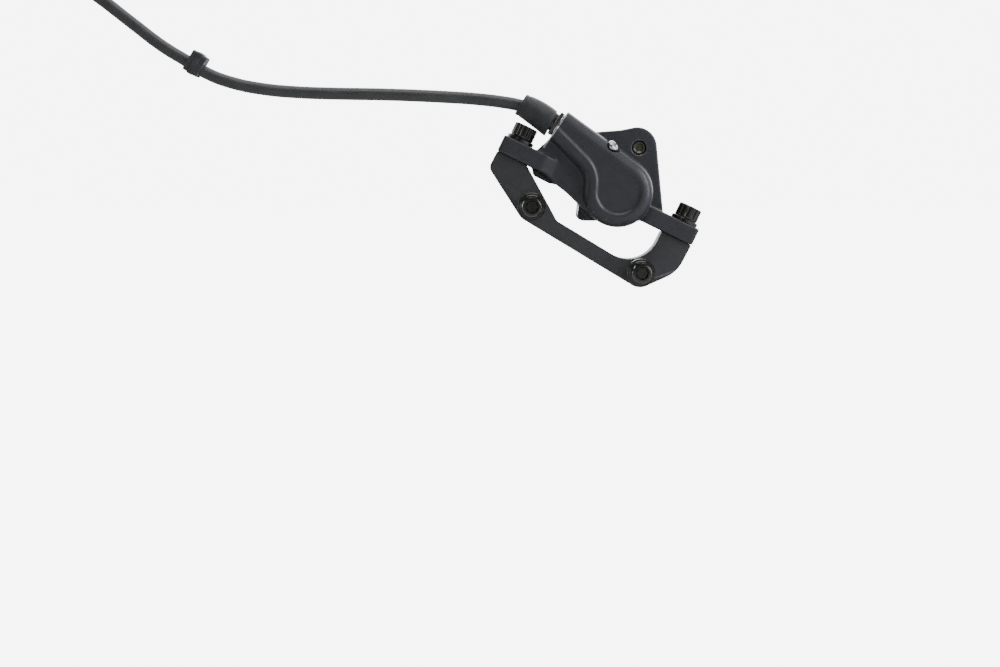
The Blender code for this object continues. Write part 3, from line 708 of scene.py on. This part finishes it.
def make_hose():
    """The whole hose as one curve: neck, free stretch, coil and tail."""
    points = [neck_point(out) for out in (-11.4, -5.0, 0.0, 4.0)]
    points += [Vector((x, NECK_Y, z)) for x, z in HOSE_ROUTE]
    points += coil_points()
    end = points[-1]
    points += [end - Vector((0, 0, TAIL_DROP * share)) for share in (0.25, 0.5, 0.75, 1.0)]
    curve = bpy.data.curves.new("hose", 'CURVE')
    curve.dimensions = '3D'
    curve.bevel_depth = HOSE_R * MM
    curve.bevel_resolution = 6
    curve.resolution_u = 5
    curve.use_fill_caps = True
    spline = curve.splines.new('BEZIER')
    spline.bezier_points.add(len(points) - 1)
    for point, place in zip(spline.bezier_points, points):
        point.co = place * MM
        point.handle_left_type = 'AUTO'
        point.handle_right_type = 'AUTO'
    hose = add("hose", curve)
    curve.materials.append(LOOKS["hose_black"])
    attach(hose, "caliper")
    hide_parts("brake_hose", "hose_coil", "hose_tail")
    length = sum((b - a).length for a, b in zip(points, points[1:]))
    return hose, length * MM


def make_boot():
    """Bent rubber boot: a tilted mouth at the neck, a moulded cuff where the hose leaves."""
    mouth, cuff = Vector((-13.94, NECK_Y, 46.32)), Vector((-26.23, NECK_Y, 54.22))
    mouth_way, cuff_way = Vector((-0.884, 0, 0.468)), Vector((-0.848, 0, 0.530))
    up, arch, across = Vector((0.54, 0, 0.84)), 1.8, Vector((0, 1, 0))
    # share of the way from mouth to cuff, radius
    stations = [(0.0, 5.3), (0.012, 5.5), (0.03, 5.6), (0.15, 5.58), (0.3, 5.5), (0.45, 5.38),
                (0.6, 5.2), (0.72, 5.0), (0.82, 4.84), (0.86, 4.76), (0.875, 4.55), (0.895, 4.5),
                (0.91, 4.68), (0.93, 4.72), (0.97, 4.62), (0.99, 4.45), (1.0, 4.2)]
    count = 48
    rows = []
    for share, radius in stations:
        centre = mouth.lerp(cuff, share) + up * arch * share * (1 - share)
        side = mouth_way.lerp(cuff_way, share).normalized().cross(across)
        rows.append([centre + (across * math.cos(a) + side * math.sin(a)) * radius
                     for a in (2 * math.pi * j / count for j in range(count))])
    boot = skin("boot", rows, Matrix.Identity(4))
    hollow = cylinder(neck_point(0.5), neck_point(6.6), 4.1)
    route = [neck_point(4.0)] + [Vector((x, NECK_Y, z)) for x, z in HOSE_ROUTE[:5]]
    boot = cut(boot, hollow, tube("cut", route, HOSE_R + 0.15, 12))
    return done(boot, "caliper", "boot_rubber", "hose_boot")


def ring_piece(name, profile, place, body, slot, *nodes, steps=64):
    """Turned ring with a hole, finished and in place of its nodes."""
    return done(turned(name, profile, place, steps, closed=True), body, slot, *nodes)


def round_section(outer, inner, low, high, radius):
    """Section of a ring whose four corners are rounded."""
    return rounded([(outer, high, radius), (outer, low, radius), (inner, low, radius),
                    (inner, high, radius)])


def thread(radius, high, low, pitch=0.8):
    """Profile of a thread from its high end down to its low end."""
    count = round((high - low) / pitch)
    depth = THREAD_DEPTH * pitch
    points = []
    for k in range(count):
        top = high - k * pitch
        points += [(radius, top), (radius, top - 0.15 * pitch), (radius - depth, top - 0.5 * pitch),
                   (radius, top - 0.85 * pitch)]
    return points


def compression_nut(name, place, across, flats, stem_r, stem, tail_r, tail, *nodes):
    """Hexagon between two heights on a threaded stem, with a round tail, bored for the hose."""
    bore_r = HOSE_R + GAP
    profile = [(0, tail), (tail_r - 0.2, tail), (tail_r, tail - 0.2), (tail_r, flats[1] - 0.2),
               (stem_r - 0.4, flats[1] - 0.2), (stem_r - 0.4, stem[1])]
    profile += thread(stem_r, *stem[::-1]) + [(stem_r - 0.5, stem[0]), (0, stem[0])]
    nut = turned(name, profile, place)
    nut = join(nut, prism("hexagon", hexagon(across), *flats, place, fillet=0.18))
    nut = cut(nut, turned("cut", [(0, 30), (bore_r, 30), (bore_r, -5), (0, -5)], place))
    return done(nut, "caliper", "bolt_black", *nodes)


def olive_ring(name, place, high, low, *nodes):
    """Brass ring that the nut squeezes on to the hose."""
    bore_r = HOSE_R + GAP
    middle, crown = (high + low) / 2, bore_r + 1.1
    profile = [(bore_r + 0.35, high), (crown - 0.12, middle + 0.2), (crown, middle),
               (crown - 0.12, middle - 0.2), (bore_r + 0.35, low), (bore_r, low), (bore_r, high)]
    return ring_piece(name, profile, place, "caliper", "brass", *nodes)


def insert(name, place, high, low, *nodes):
    """Flanged barb that keeps the hose's end open."""
    depth = high - low
    profile = [(0, high), (2.5, high), (2.6, high - 0.1), (2.6, high - 0.55), (2.5, high - 0.65),
               (1.4, high - 0.75), (1.2, low + 0.45 * depth), (1.3, low + 0.4 * depth),
               (1.0, low), (0, low)]
    return done(turned(name, profile, place), "caliper", "plated_steel", *nodes)


def make_neck_fittings():
    """Nut, olive and insert in the hose neck, and the bright ring that the nut holds."""
    end = 8.6
    place = axis_frame(neck_point(-end), NECK_DIR)
    ring_section = round_section(5.1, 4.15, end + 0.1, end + 0.6, 0.12)
    return [
        compression_nut("neck_nut", place, 9.9, (end + 0.62, end + 2.05), 4.0, (0.6, 8.4),
                        3.8, end + 4.0, "hose_nut"),
        ring_piece("neck_ring", ring_section, place, "caliper", "plated_steel"),
        olive_ring("neck_olive", place, -0.2, -2.6, "hose_olive"),
        insert("neck_insert", place, -2.95, -4.2, "hose_insert")]


def make_lever_end():
    """Fittings for the brake lever on the hose's loose end, under a ribbed boot."""
    x, z = COIL_CENTRE
    place = axis_frame((x - TAIL_R, TAIL_Y, z - TAIL_DROP), (0, 0, 1))
    bore_r = HOSE_R + 0.15
    top, base, ribs = 26.0, 14.2, 5
    tip_r, flare, rib_depth, steps = 3.75, 0.85, 0.32, 60
    sides = []
    for i in range(1, steps):
        share = i / steps
        wave = rib_depth * math.sin(math.pi * ribs * share) ** 2
        sides.append((tip_r + flare * share - wave * (1 - 0.4 * share),
                      top - (top - base) * share))
    boot = [(3.5, top)] + sides + [(4.5, base), (bore_r, base), (bore_r, top)]
    return [
        ring_piece("lever_gaiter", boot, place, "caliper", "boot_rubber", "lever_boot"),
        compression_nut("lever_hexagon", place, 7.6, (9.6, 12.4), 3.8, (4.9, 9.2), 3.6, 13.6,
                        "lever_nut"),
        olive_ring("lever_ring", place, 4.2, 1.6, "lever_olive"),
        insert("lever_barb", place, -GAP, -2.6, "lever_insert")]


def make_hose_clip():
    """Blocky moulded clip that snaps round the hose, with a ridge round its middle."""
    here, ahead = Vector((-157.0, NECK_Y, 69.3)), Vector((-160.4, NECK_Y, 71.45))
    place = axis_frame(here, ahead - here)
    mouth, lip, hinge = math.radians(38), 1.75, (0.0, -1.2)
    grip = arc((0, 0), HOSE_R + 0.08, -math.pi / 2 - mouth, -5 * math.pi / 2 + mouth)
    blocks = []
    for half, grow in ((3.2, 0.0), (1.1, 0.35)):
        side, top, foot = 3.75 + grow, 5.6 + grow, -3.4 - grow
        shape = [(-lip, foot, 0.3), (-side, foot, 0.9), (-side, top, 1.2), (side, top, 1.2),
                 (side, foot, 0.9), (lip, foot, 0.3), (*hinge, 0)]
        outline = [p for p in rounded(shape) if p != hinge]
        blocks.append(prism("block", outline + grip[::-1], -half, half, place, fillet=0.25))
    clip = join(*blocks)
    clip.name = "snap_clip"
    return done(clip, "caliper", "clip_black", "hose_clip")


def make_coil_tie():
    """Hook-and-loop strap round both layers of the coil, its end lapped over the front."""
    x, z = COIL_CENTRE[0], COIL_CENTRE[1] - (COIL_OUTER + COIL_INNER) / 2
    place = axis_frame((x, COIL_Y, z), (1, 0, 0))
    slack, thick, width, fillet = 0.15, 0.95, 4.5, 0.3
    half = LAYER / 2 + HOSE_R + slack
    reach = (COIL_OUTER - COIL_INNER) / 2 + HOSE_R + slack
    strap = prism("hose_strap", box_outline(half + thick, reach + thick, 3.0), -width, width,
                  place, fillet)
    strap = cut(strap, prism("cut", box_outline(half, reach, 2.1), -width - 1, width + 1, place))
    front = COIL_Y - half - thick
    lap = rounded([(x - width, z - 7.5, 2.2), (x + width, z - 7.5, 2.2),
                   (x + width, z + 8.5, 0.4), (x - width, z + 8.5, 0.4)])
    strap = join(strap, plate("lap", lap, front - 0.85, front + 0.2, fillet))
    return done(strap, "caliper", "strap_black", "coil_tie")


# ---- castings

def pm_plate(name, corners, y_low, y_high):
    """Plate through corners (s, t, radius) on the post mount line's axes."""
    return plate(name, rounded([(*pm(s, t), radius) for s, t, radius in corners]), y_low, y_high)


def neck_trim():
    """Cuts the drop off at the neck's end face."""
    return pm_plate("cut", [(-24.4, 29.2, 0), (-26.85, 13.4, 0), (-27.95, 10.2, 0),
                            (-48.0, 10.2, 0), (-48.0, 36.0, 0)], -8, 16)


def slot_cutters():
    """Ear slots, longer towards the wheel than they are wide."""
    half = ADJUST + GAP
    radius = BOLT_R + GAP
    cutters = []
    for side in PM_SIDES.values():
        outline = arc((0, half), radius, 0, math.pi)
        outline += arc((0, -half), radius, math.pi, 2 * math.pi)
        cutters.append(prism("cut", outline, -2, EAR_T + 2, post_frame(side)))
    return cutters


def rotor_cutter():
    """Slot for the rotor between the two halves."""
    x, z = ROTOR_AXIS
    return cylinder((x, ROTOR_Y - SLOT_HALF, z), (x, ROTOR_Y + SLOT_HALF, z), ROTOR_CLEAR_R, 180)


def pocket_cutter():
    """Room for the pads, open at the top."""
    return plate("cut", pocket_outline(0.4, POCKET_TOP + 8), ROTOR_Y - POCKET_FACE,
                 ROTOR_Y + POCKET_FACE)


def ear_shell(side):
    """Ear seen down the bolt, running back into the body with a ramp on its front face."""
    low, high = PM_Y - EAR_W / 2, PM_Y + EAR_W / 2
    root, floor, ramp = (24.5, 0.64, 5.2) if side < 0 else (22.5, 1.6, 4.0)
    points = [(EAR_END, low, 1.2), (EAR_END, high, 2.0), (root - 12, high - 0.8, 0),
              (root - 12, floor, 0), (root - ramp, floor, 3.0), (root, low, 4.0)]
    return prism("ear", rounded([(side * s, y, r) for s, y, r in points]), SHUT / 2, EAR_T,
                 pm_frame(), fillet=0.45)


def piston_bore(side):
    """Stepped hole for a piston, from the pad pocket: a lead, then the seal's groove."""
    lead = 0.6
    low, high = node_box(f"{side}_piston_seal")
    groove = [(low.y - GAP, SEAL_R + GAP), (high.y + GAP, PISTON_R)]
    if side == "outer":
        floor = ROTOR_Y - POCKET_FACE
        stations = [(ROTOR_Y - BORE_END, PISTON_R), *groove,
                    (floor - lead, PISTON_R, PISTON_R + lead), (floor,)]
    else:
        floor = ROTOR_Y + POCKET_FACE
        stations = [(floor, PISTON_R + lead, PISTON_R), (floor + lead, PISTON_R), *groove,
                    (ROTOR_Y + BORE_END - 1.0,)]
    return stepped_bore(*pm(*PISTON_ST), stations)


def make_bulge():
    """Drop-shaped bulge: a rounded rim all round a slightly sunk face."""
    bulge = plate("drop", drop_outline(), OUTER_FACE_Y, 10.9, fillet=BULGE_FILLET, steps=14)
    sunk = plate("cut", drop_outline(), OUTER_FACE_Y - 2.5, OUTER_FACE_Y + FACE_DEPTH,
                 fillet=0.9, steps=6, inset=RIM_W - 0.5)
    return cut(bulge, sunk)


def slab_shell(y_low, y_high):
    return plate("slab", rounded(SLAB), y_low, y_high, fillet=0.7)


def make_outer_housing():
    """Frame side half: slab, bulge with the hose neck, web, rib, gusset, lug and ears."""
    shells = [
        make_bulge(),
        slab_shell(SLAB_Y, ROTOR_Y - GAP / 2),
        pm_plate("web", [
            (-29.6, 0.4, 0), (-20.0, -0.9, 8), (-10.3, -3.1, 20), (3.0, -7.6, 0), (6.0, 4.0, 0),
            (-10.0, 13.0, 0), (-20.0, 17.0, 0), (-30.0, 17.0, 0), (-28.2, 10.0, 0),
            (-29.6, 6.6, 0)], 0.6, 10.4),
        pm_plate("rib", [
            (-28.6, 1.0, 0), (-26.2, -2.5, 2.0), (-19.0, -2.6, 3.0), (-13.0, -1.0, 0),
            (-14.0, 4.0, 0), (-28.6, 4.0, 0)], 4.6, 11.1),
        pm_plate("gusset", [
            (8.0, -7.7, 0), (21.6, 0.4, 3.0), (26.0, 1.0, 0), (24.0, 5.0, 0), (8.0, 5.0, 0)],
            1.9, 10.2),
        cylinder((LUG[0], 6.0, LUG[1]), (LUG[0], ROTOR_Y - GAP / 2 - 0.2, LUG[1]), LUG_R),
        ear_shell(-1), ear_shell(1)]
    body = cast("outer_casting", shells)
    body = cut(body, neck_trim(), rotor_cutter(), pocket_cutter())
    mouth, shank = 2.95, PAD_AXLE_R + GAP
    body = cut(body, *slot_cutters(), cylinder(neck_point(1.0), neck_point(-13.0), NECK_BORE_R),
               piston_bore("outer"),
               stepped_bore(*PAD_AXLE, [(5, mouth + 0.3), (7.35, mouth + 0.3, mouth),
                                        (7.6, mouth), (9.7, shank), (13,)]))
    body = cut(body, turned("cut", [(0, 3), (3.9, 3), (3.3, 0.3), (3.3, -0.9), (2.3, -0.9),
                                    (2.3, -6.6), (0, -6.6)], bleed_frame()))
    return done(body, "caliper", "cast_black", "outer_housing", angle=40)


def make_inner_housing():
    """Wheel side half: slab, round bulge, arm to the lug and the fluid port's ridge."""
    x, z = pm(*PISTON_ST)
    radius, back, fillet = 13.8, INNER_FACE_Y, 3.2
    arm = rounded([(LUG[0] - LUG_R, LUG[1], LUG_R - 0.1), (LUG[0], LUG[1] - LUG_R, 3.0),
                   (8.0, 19.0, 0), (8.0, 38.0, 0), (LUG[0], LUG[1] + LUG_R, 3.0)])
    shells = [
        slab_shell(ROTOR_Y + GAP / 2, INNER_SLAB_Y),
        turned("bulge", [(0, back), *rim(radius, back, fillet, 10), (radius, 18), (0, 18)],
               depth_frame(x, 0, z)),
        plate("arm", arm, ROTOR_Y + GAP / 2 + 0.1, 23.4),
        cylinder((PORT[0], 20.0, PORT[1]), (x - 3.5, 31.0, z + 8.5), 3.3)]
    body = cast("inner_casting", shells)
    body = cut(body, rotor_cutter(), pocket_cutter())
    seats = [stepped_bore(*place, [(14, 2.8), (HALF_BOLT_SEAT, 4.6), (36,)])
             for place in (LUG, TOP_BOLT)]
    axle_r = PAD_AXLE_R + GAP
    body = cut(body, piston_bore("inner"), *seats,
               stepped_bore(*PAD_AXLE, [(20, axle_r), (25.2, axle_r, axle_r + 0.6), (27,)]))
    return done(body, "caliper", "cast_black", "inner_housing", angle=40)


# ---- bracket and bolts

def make_bracket():
    """Flat bar with a post at each end; outline corners are (x, z, radius)."""
    post_in, post_out = 30.4, 43.5
    face = -SHUT / 2
    outline = rounded([
        (*pm(-post_out, face), 0.8), (-39.06, 28.75, 3.5), (-26.0, 8.45, 6.1),
        (21.7, -20.28, 6.4), (37.03, -13.38, 13.5), (*pm(post_out, face), 0.8),
        (*pm(post_in, face), 0.6), (22.6, -13.15, 12.5), (-11.55, 7.42, 3.0),
        (*pm(-post_in, face), 0.6)])
    bracket = plate("bracket", outline, 0, BRACKET_T, fillet=0.3)
    radius, wide, depth = BOLT_R + GAP, BOLT_R + GAP + 0.5, 6.9
    holes = [stepped_bore(*frame_bolt_place(which), [
        (-0.1, wide, radius), (0.5, radius), (BRACKET_T - 0.4, radius, wide),
        (BRACKET_T + 0.1,)]) for which in ("upper", "lower")]
    bores = [turned("cut", [(0, 0.5), (wide, 0.5), (radius, -0.6), (radius, -depth), (0, -depth)],
                    post_frame(side)) for side in PM_SIDES.values()]
    return done(cut(bracket, *holes, *bores), "bracket", "bracket_black", "adapter_bracket")


def frame_bolt_place(which):
    low, high = node_box(f"adapter_bolt_{which}")
    return (low.x + high.x) / 2, (low.z + high.z) / 2


def bolt(name, place, head, length, across, socket_depth, flutes=0, shank_r=BOLT_R, pitch=1.0):
    """Socket bolt. Its head is (radius, height) stations from the top down to the seat."""
    count = 96 if flutes else 64
    angles = [2 * math.pi * i / count for i in range(count)]
    plain, per_pitch, tip, tip_drop, flute_depth = 1.5, 8, 0.7, 0.5, 0.42
    top_r, top = head[0]

    def row(height, radius_at):
        return [(radius_at(a) * math.cos(a), radius_at(a) * math.sin(a), height) for a in angles]

    def fluted(radius, height):
        if not flutes or not 0.6 < height < top - 0.25:
            return lambda a: radius
        return lambda a: radius - flute_depth * max(0.0, math.cos(flutes * a)) ** 0.6

    def threaded(z):
        left = length + z
        depth = THREAD_DEPTH * pitch * min(1.0, (-plain - z) * per_pitch / pitch / 10, left)
        core = shank_r - tip_drop * max(0, 1 - left / tip)
        return lambda a: core - depth * (1 - abs(2 * ((z / pitch - a / (2 * math.pi)) % 1.0) - 1))

    rows = [row(top, lambda a, r=share * top_r: r) for share in (0.3, 0.7)]
    rows += [row(height, fluted(radius, height)) for radius, height in head]
    rows += [row(z, lambda a: shank_r) for z in (0.0, -plain)]
    for k in range(1, int((length - plain) / pitch * per_pitch)):
        z = -plain - k * pitch / per_pitch
        rows.append(row(z, threaded(z)))
    lead = turned("cut", [(0, top + 0.5), (across / 2 + 0.75, top + 0.5),
                          (across / 2, top - 0.45), (0, top - 0.45)], place)
    socket = prism("cut", hexagon(across), top - socket_depth, top + 1, place)
    return cut(skin(name, rows, place), lead, socket)


def button_head(radius, height, shoulder):
    """Stations of a round shouldered head."""
    return rim(radius, height, shoulder, 9) + [(radius, 0.35), (radius - 0.3, 0.0)]


def flanged_head(radius, height):
    """Stations of a chamfered boss on a flat flange."""
    return [(2.9, height), (3.25, height), (3.75, height - 0.3), (3.95, height - 0.7),
            (4.0, 1.25), (4.05, 1.2), (radius - 0.25, 1.2), (radius, 0.95), (radius, 0.35),
            (radius - 0.3, 0.0)]


def cap_head(radius, height):
    """Stations of a straight round head."""
    return [(radius - 0.55, height), (radius - 0.2, height - 0.12), (radius, height - 0.4),
            (radius, height - 0.75), (radius, 0.75), (radius, 0.5), (radius - 0.15, 0.12),
            (radius - 0.4, 0.0)]


def washer(name, place, low, high, *nodes):
    outer, inner, edge = 5.6, 3.3, 0.15
    profile = [(outer - edge, high), (outer, high - edge), (outer, low + edge),
               (outer - edge, low), (inner, low), (inner, high)]
    return ring_piece(name, profile, place, "bracket", "bolt_black", *nodes)


def make_bolts():
    """The frame's, the caliper's and the housing's two bolts each, with their washers."""
    for which in ("upper", "lower"):
        low, high = node_box(f"adapter_bolt_{which}")
        x, z = frame_bolt_place(which)
        ring_low, ring_high = node_box(f"adapter_washer_{which}")
        seat = ring_low.y - GAP
        place = depth_frame(x, seat, z, -1)
        head = flanged_head(4.8, seat - low.y)
        piece = bolt(f"frame_bolt_{which}", place, head, high.y - seat, 4.3, 1.7)
        done(piece, "bracket", "bolt_black", f"adapter_bolt_{which}")
        washer(f"frame_washer_{which}", place, seat - ring_high.y, -SHUT, f"adapter_washer_{which}")
    for which, side in PM_SIDES.items():
        place = post_frame(side, EAR_T + WASHER_T)
        piece = bolt(f"post_bolt_{which}", place, cap_head(4.8, 5.4), 15.1, 5.0, 3.0, flutes=11)
        done(piece, "bracket", "bolt_black", f"caliper_bolt_{which}")
        washer(f"post_washer_{which}", place, SHUT - WASHER_T, -SHUT, f"caliper_washer_{which}")
    for which, (x, z) in (("front", LUG), ("rear", TOP_BOLT)):
        place = depth_frame(x, HALF_BOLT_SEAT + GAP, z)
        piece = bolt(f"half_bolt_{which}", place, cap_head(4.2, 4.8), 13.6, 4.0, 2.6,
                     shank_r=2.5, pitch=0.8)
        done(piece, "caliper", "bolt_black", f"housing_bolt_{which}")


def make_bleed_screw():
    sunk = 0.5
    place = bleed_frame() @ Matrix.Translation((0, 0, -sunk * MM))
    screw = bolt("bleeder", place, button_head(2.45, 1.8, 0.7), 5.7, 2.0, 1.0,
                 shank_r=1.6, pitch=0.7)
    done(screw, "caliper", "plated_steel", "bleed_screw")


def make_pad_axle():
    """Screw that the pads hang on, with a groove near its tip for the clip."""
    x, z = PAD_AXLE
    low, high = node_box("pad_axle")
    length, seat = high.y - low.y, 9.4 - low.y
    groove = INNER_SLAB_Y + 0.5 - low.y
    r = PAD_AXLE_R
    profile = [(0, length), (r - 0.7, length), (r - 0.2, length - 0.3), (r, length - 0.7),
               (r, groove + 1.2), (1.3, groove + 1.2), (1.3, groove), (r, groove), (r, seat),
               (2.55, seat), (2.8, seat - 0.25), (2.8, 0.45), (2.55, 0.12), (2.4, 0), (0, 0)]
    axle = turned("axle_screw", profile, depth_frame(x, low.y, z))
    socket = prism("cut", hexagon(3.0), -1.2, 1.2, front_frame(low.y) @ Matrix.Translation(
        (x * MM, z * MM, 0)))
    lead = stepped_bore(x, z, [(low.y - 0.2, 1.95), (low.y, 1.95, 1.5), (low.y + 0.35,)])
    done(cut(axle, lead, socket), "caliper", "axle_steel", "pad_axle")


# ---- inside the housing

def make_pistons():
    """Resin cups open to the pads, and the square seals in their bores."""
    x, z = pm(*PISTON_ST)
    for side, way in (("outer", 1), ("inner", -1)):
        low, high = node_box(f"{side}_piston")
        length, radius = high.y - low.y, PISTON_R - GAP
        cup, wall = length - 6.0, 7.4
        profile = [(0, cup), (wall - 0.5, cup), (wall - 0.15, cup + 0.15), (wall, cup + 0.5),
                   (wall, length - 0.3), (wall + 0.3, length), (radius - 0.45, length),
                   (radius - 0.12, length - 0.14), (radius, length - 0.5), (radius, 0.6),
                   (radius - 0.18, 0.18), (radius - 0.6, 0), (0, 0)]
        base = depth_frame(x, low.y if way > 0 else high.y, z, way)
        piston = turned(f"{side}_cup", profile, base, 96)
        done(piston, f"{side}_piston", "piston_resin", f"{side}_piston")
        low, high = node_box(f"{side}_piston_seal")
        section = round_section(SEAL_R, PISTON_R, 0, high.y - low.y, 0.2)
        ring_piece(f"{side}_square_seal", section, depth_frame(x, low.y, z),
                   "caliper", "seal_rubber", f"{side}_piston_seal", steps=96)


def make_pads():
    """Stamped backing plates and their linings, chamfered at the ends and grooved."""
    face = rounded([(2.2, 10.0, 3.0), (24.7, 10.0, 3.0), (24.7, 27.2, 4.0), (2.2, 27.2, 4.0)])
    middle = [(12.9, 5), (14.0, 5), (14.0, 30), (12.9, 30)]
    hole_r, mouth_r, fillet, groove_depth = PAD_AXLE_R + 0.5, PAD_AXLE_R + 0.8, 0.3, 0.9
    for side in ("outer", "inner"):
        low, high = node_box(f"{side}_pad_plate")
        backing = plate(f"{side}_backing", pocket_outline(), low.y, high.y, fillet)
        hole = stepped_bore(*PAD_AXLE, [
            (low.y - 0.1, mouth_r, hole_r), (low.y + 0.2, hole_r),
            (high.y - 0.2, hole_r, mouth_r), (high.y + 0.1,)])
        done(cut(backing, hole), f"{side}_pad", "backing_steel", f"{side}_pad_plate")
        low, high = node_box(f"{side}_pad_lining")
        lining = plate(f"{side}_compound", face, low.y, high.y, fillet)
        toward = high.y if side == "outer" else low.y
        groove = plate("cut", middle, toward - groove_depth, toward + groove_depth)
        done(cut(lining, groove), f"{side}_pad", "pad_lining", f"{side}_pad_lining")


def make_pad_spring():
    """Sheet spring: a leaf against each backing plate, joined over the rotor's edge."""
    leaf = rounded([(3.6, 27.6, 0.45), (25.4, 27.6, 0.45), (25.4, 32.0, 1.5), (18.4, 32.0, 0.5),
                    (18.4, 28.6, 0.5), (3.6, 28.6, 0.45)])
    low, high = node_box("pad_spring")
    sheet, fillet = 0.45, 0.12
    spring = plate("leaf_spring", leaf, low.y, low.y + sheet, fillet)
    bridge = rounded([(19.6, 31.4, 0.1), (24.2, 31.4, 0.1), (24.2, 31.9, 0.1), (19.6, 31.9, 0.1)])
    spring = join(spring, plate("leaf", leaf, high.y - sheet, high.y, fillet),
                  plate("bridge", bridge, low.y + 0.1, high.y - 0.1))
    done(spring, "caliper", "spring_steel", "pad_spring")
    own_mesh(spring)


def make_axle_clip():
    """Spring clip with three lugs, pushed into the groove at the axle's tip."""
    x, z = PAD_AXLE
    low, high = node_box("pad_axle_clip")
    outer, inner, relief = 3.9, 1.35, 2.2
    outline = arc((0, 0), outer, math.radians(-58), math.radians(238))
    for start, end, radius in ((238, 205, inner), (205, 110, relief), (110, 70, inner),
                               (70, -25, relief), (-25, -58, inner)):
        outline += arc((0, 0), radius, math.radians(start), math.radians(end))
    place = depth_frame(x, low.y, z)
    clip = prism("e_clip", outline, 0, high.y - low.y, place, fillet=0.1)
    done(clip, "caliper", "axle_steel", "pad_axle_clip")


def make_small_seals():
    low, high = node_box("port_oring")
    middle = (low + high) / 2
    section = arc((1.75, 0), 0.46, 0, 2 * math.pi)[:-1]
    ring_piece("port_ring", section, depth_frame(*middle), "caliper", "seal_rubber",
               "port_oring", steps=48)
    section = round_section(2.45, 1.75, -0.88, -0.52, 0.1)
    ring_piece("bleed_ring", section, bleed_frame(), "caliper", "seal_rubber", "bleed_seal",
               steps=48)


# ---- stage and light

def make_stage():
    """Paper floor under the part, which glows for the lens alone to run into the backdrop."""
    floor_mesh = bpy.data.meshes.new("floor")
    bm = bmesh.new()
    bmesh.ops.create_grid(bm, x_segments=1, y_segments=1, size=FLOOR_SIZE)
    bm.to_mesh(floor_mesh)
    bm.free()
    floor = add("floor", floor_mesh, Matrix.Translation((0, 0, cad_low[2] - FLOOR_DROP)))
    look = Look("floor_paper", (0.42, 0.42, 0.42), 0.9, specular=0.1)
    look.clouds(60.0, 3.0, (0.42, 0.42, 0.42), (0.40, 0.40, 0.40))
    lens = made(look.tree, 'ShaderNodeLightPath', "Is Camera Ray")
    look.set("Emission Color", (1, 1, 1))
    look.set("Emission Strength", look.spread(lens, 0.0, BACKDROP_SEEN * 0.95, 0.0, 1.0))
    floor_mesh.materials.append(look.material)


def area_light(name, place, width, height, radiance, colour=(1, 1, 1)):
    """Soft box of so many metres that faces the part, given by how bright its surface is."""
    data = bpy.data.lights.new(name, 'AREA')
    data.shape = 'RECTANGLE'
    data.size = width
    data.size_y = height
    data.energy = radiance * math.pi * width * height
    data.color = colour
    light = add(name, data)
    direction = Vector(LIT_PLACE) - Vector(place)
    light.matrix_world = (Matrix.Translation(place)
                          @ direction.to_track_quat('-Z', 'Y').to_matrix().to_4x4())


def make_light():
    """White backdrop: bright behind the part, dim in front, with soft boxes round the sides."""
    world = bpy.data.worlds.new("studio")
    bpy.context.scene.world = world
    world.use_nodes = True
    tree = world.node_tree
    seen = tree.nodes["Background"]
    feed(tree, seen.inputs["Color"], (1, 1, 1))
    feed(tree, seen.inputs["Strength"], BACKDROP_SEEN)
    toward = made(tree, 'ShaderNodeTexCoord', "Generated")
    strength = made(tree, 'ShaderNodeMapRange', "Result", {
        "Value": made(tree, 'ShaderNodeSeparateXYZ', "Y", {"Vector": toward}),
        "From Min": 0.1, "From Max": 0.9, "To Min": ROOM_LIGHT, "To Max": BACKDROP_LIGHT})
    room = made(tree, 'ShaderNodeBackground', "Background", {
        "Color": (0.95, 0.97, 1.0), "Strength": strength})
    mixed = made(tree, 'ShaderNodeMixShader', "Shader", {
        "Fac": made(tree, 'ShaderNodeLightPath', "Is Camera Ray"),
        1: room, 2: seen.outputs["Background"]})
    feed(tree, tree.nodes["World Output"].inputs["Surface"], mixed)
    area_light("right_box", (0.72, -0.30, 0.26), 0.30, 0.7, 6.4, (0.80, 0.90, 1.0))
    area_light("top_box", (0.05, -0.20, 0.90), 0.9, 0.6, 2.6)
    area_light("left_box", (-0.80, 0.02, 0.05), 0.3, 0.5, 1.1)
    area_light("left_strip", (-0.62, -1.02, 0.20), 0.10, 0.8, 0.8)
    area_light("front_box", (0.42, -0.54, 0.26), 0.3, 0.3, 2.2)


# ---- the whole

make_camera()
hose, hose_length = make_hose()
hose_pieces = [make_boot(), make_hose_clip(), make_coil_tie()]
hose_pieces += make_neck_fittings() + make_lever_end()
make_outer_housing()
make_inner_housing()
make_bracket()
make_bolts()
make_bleed_screw()
make_pad_axle()
make_pistons()
make_pads()
make_pad_spring()
make_axle_clip()
make_small_seals()
make_stage()
make_light()
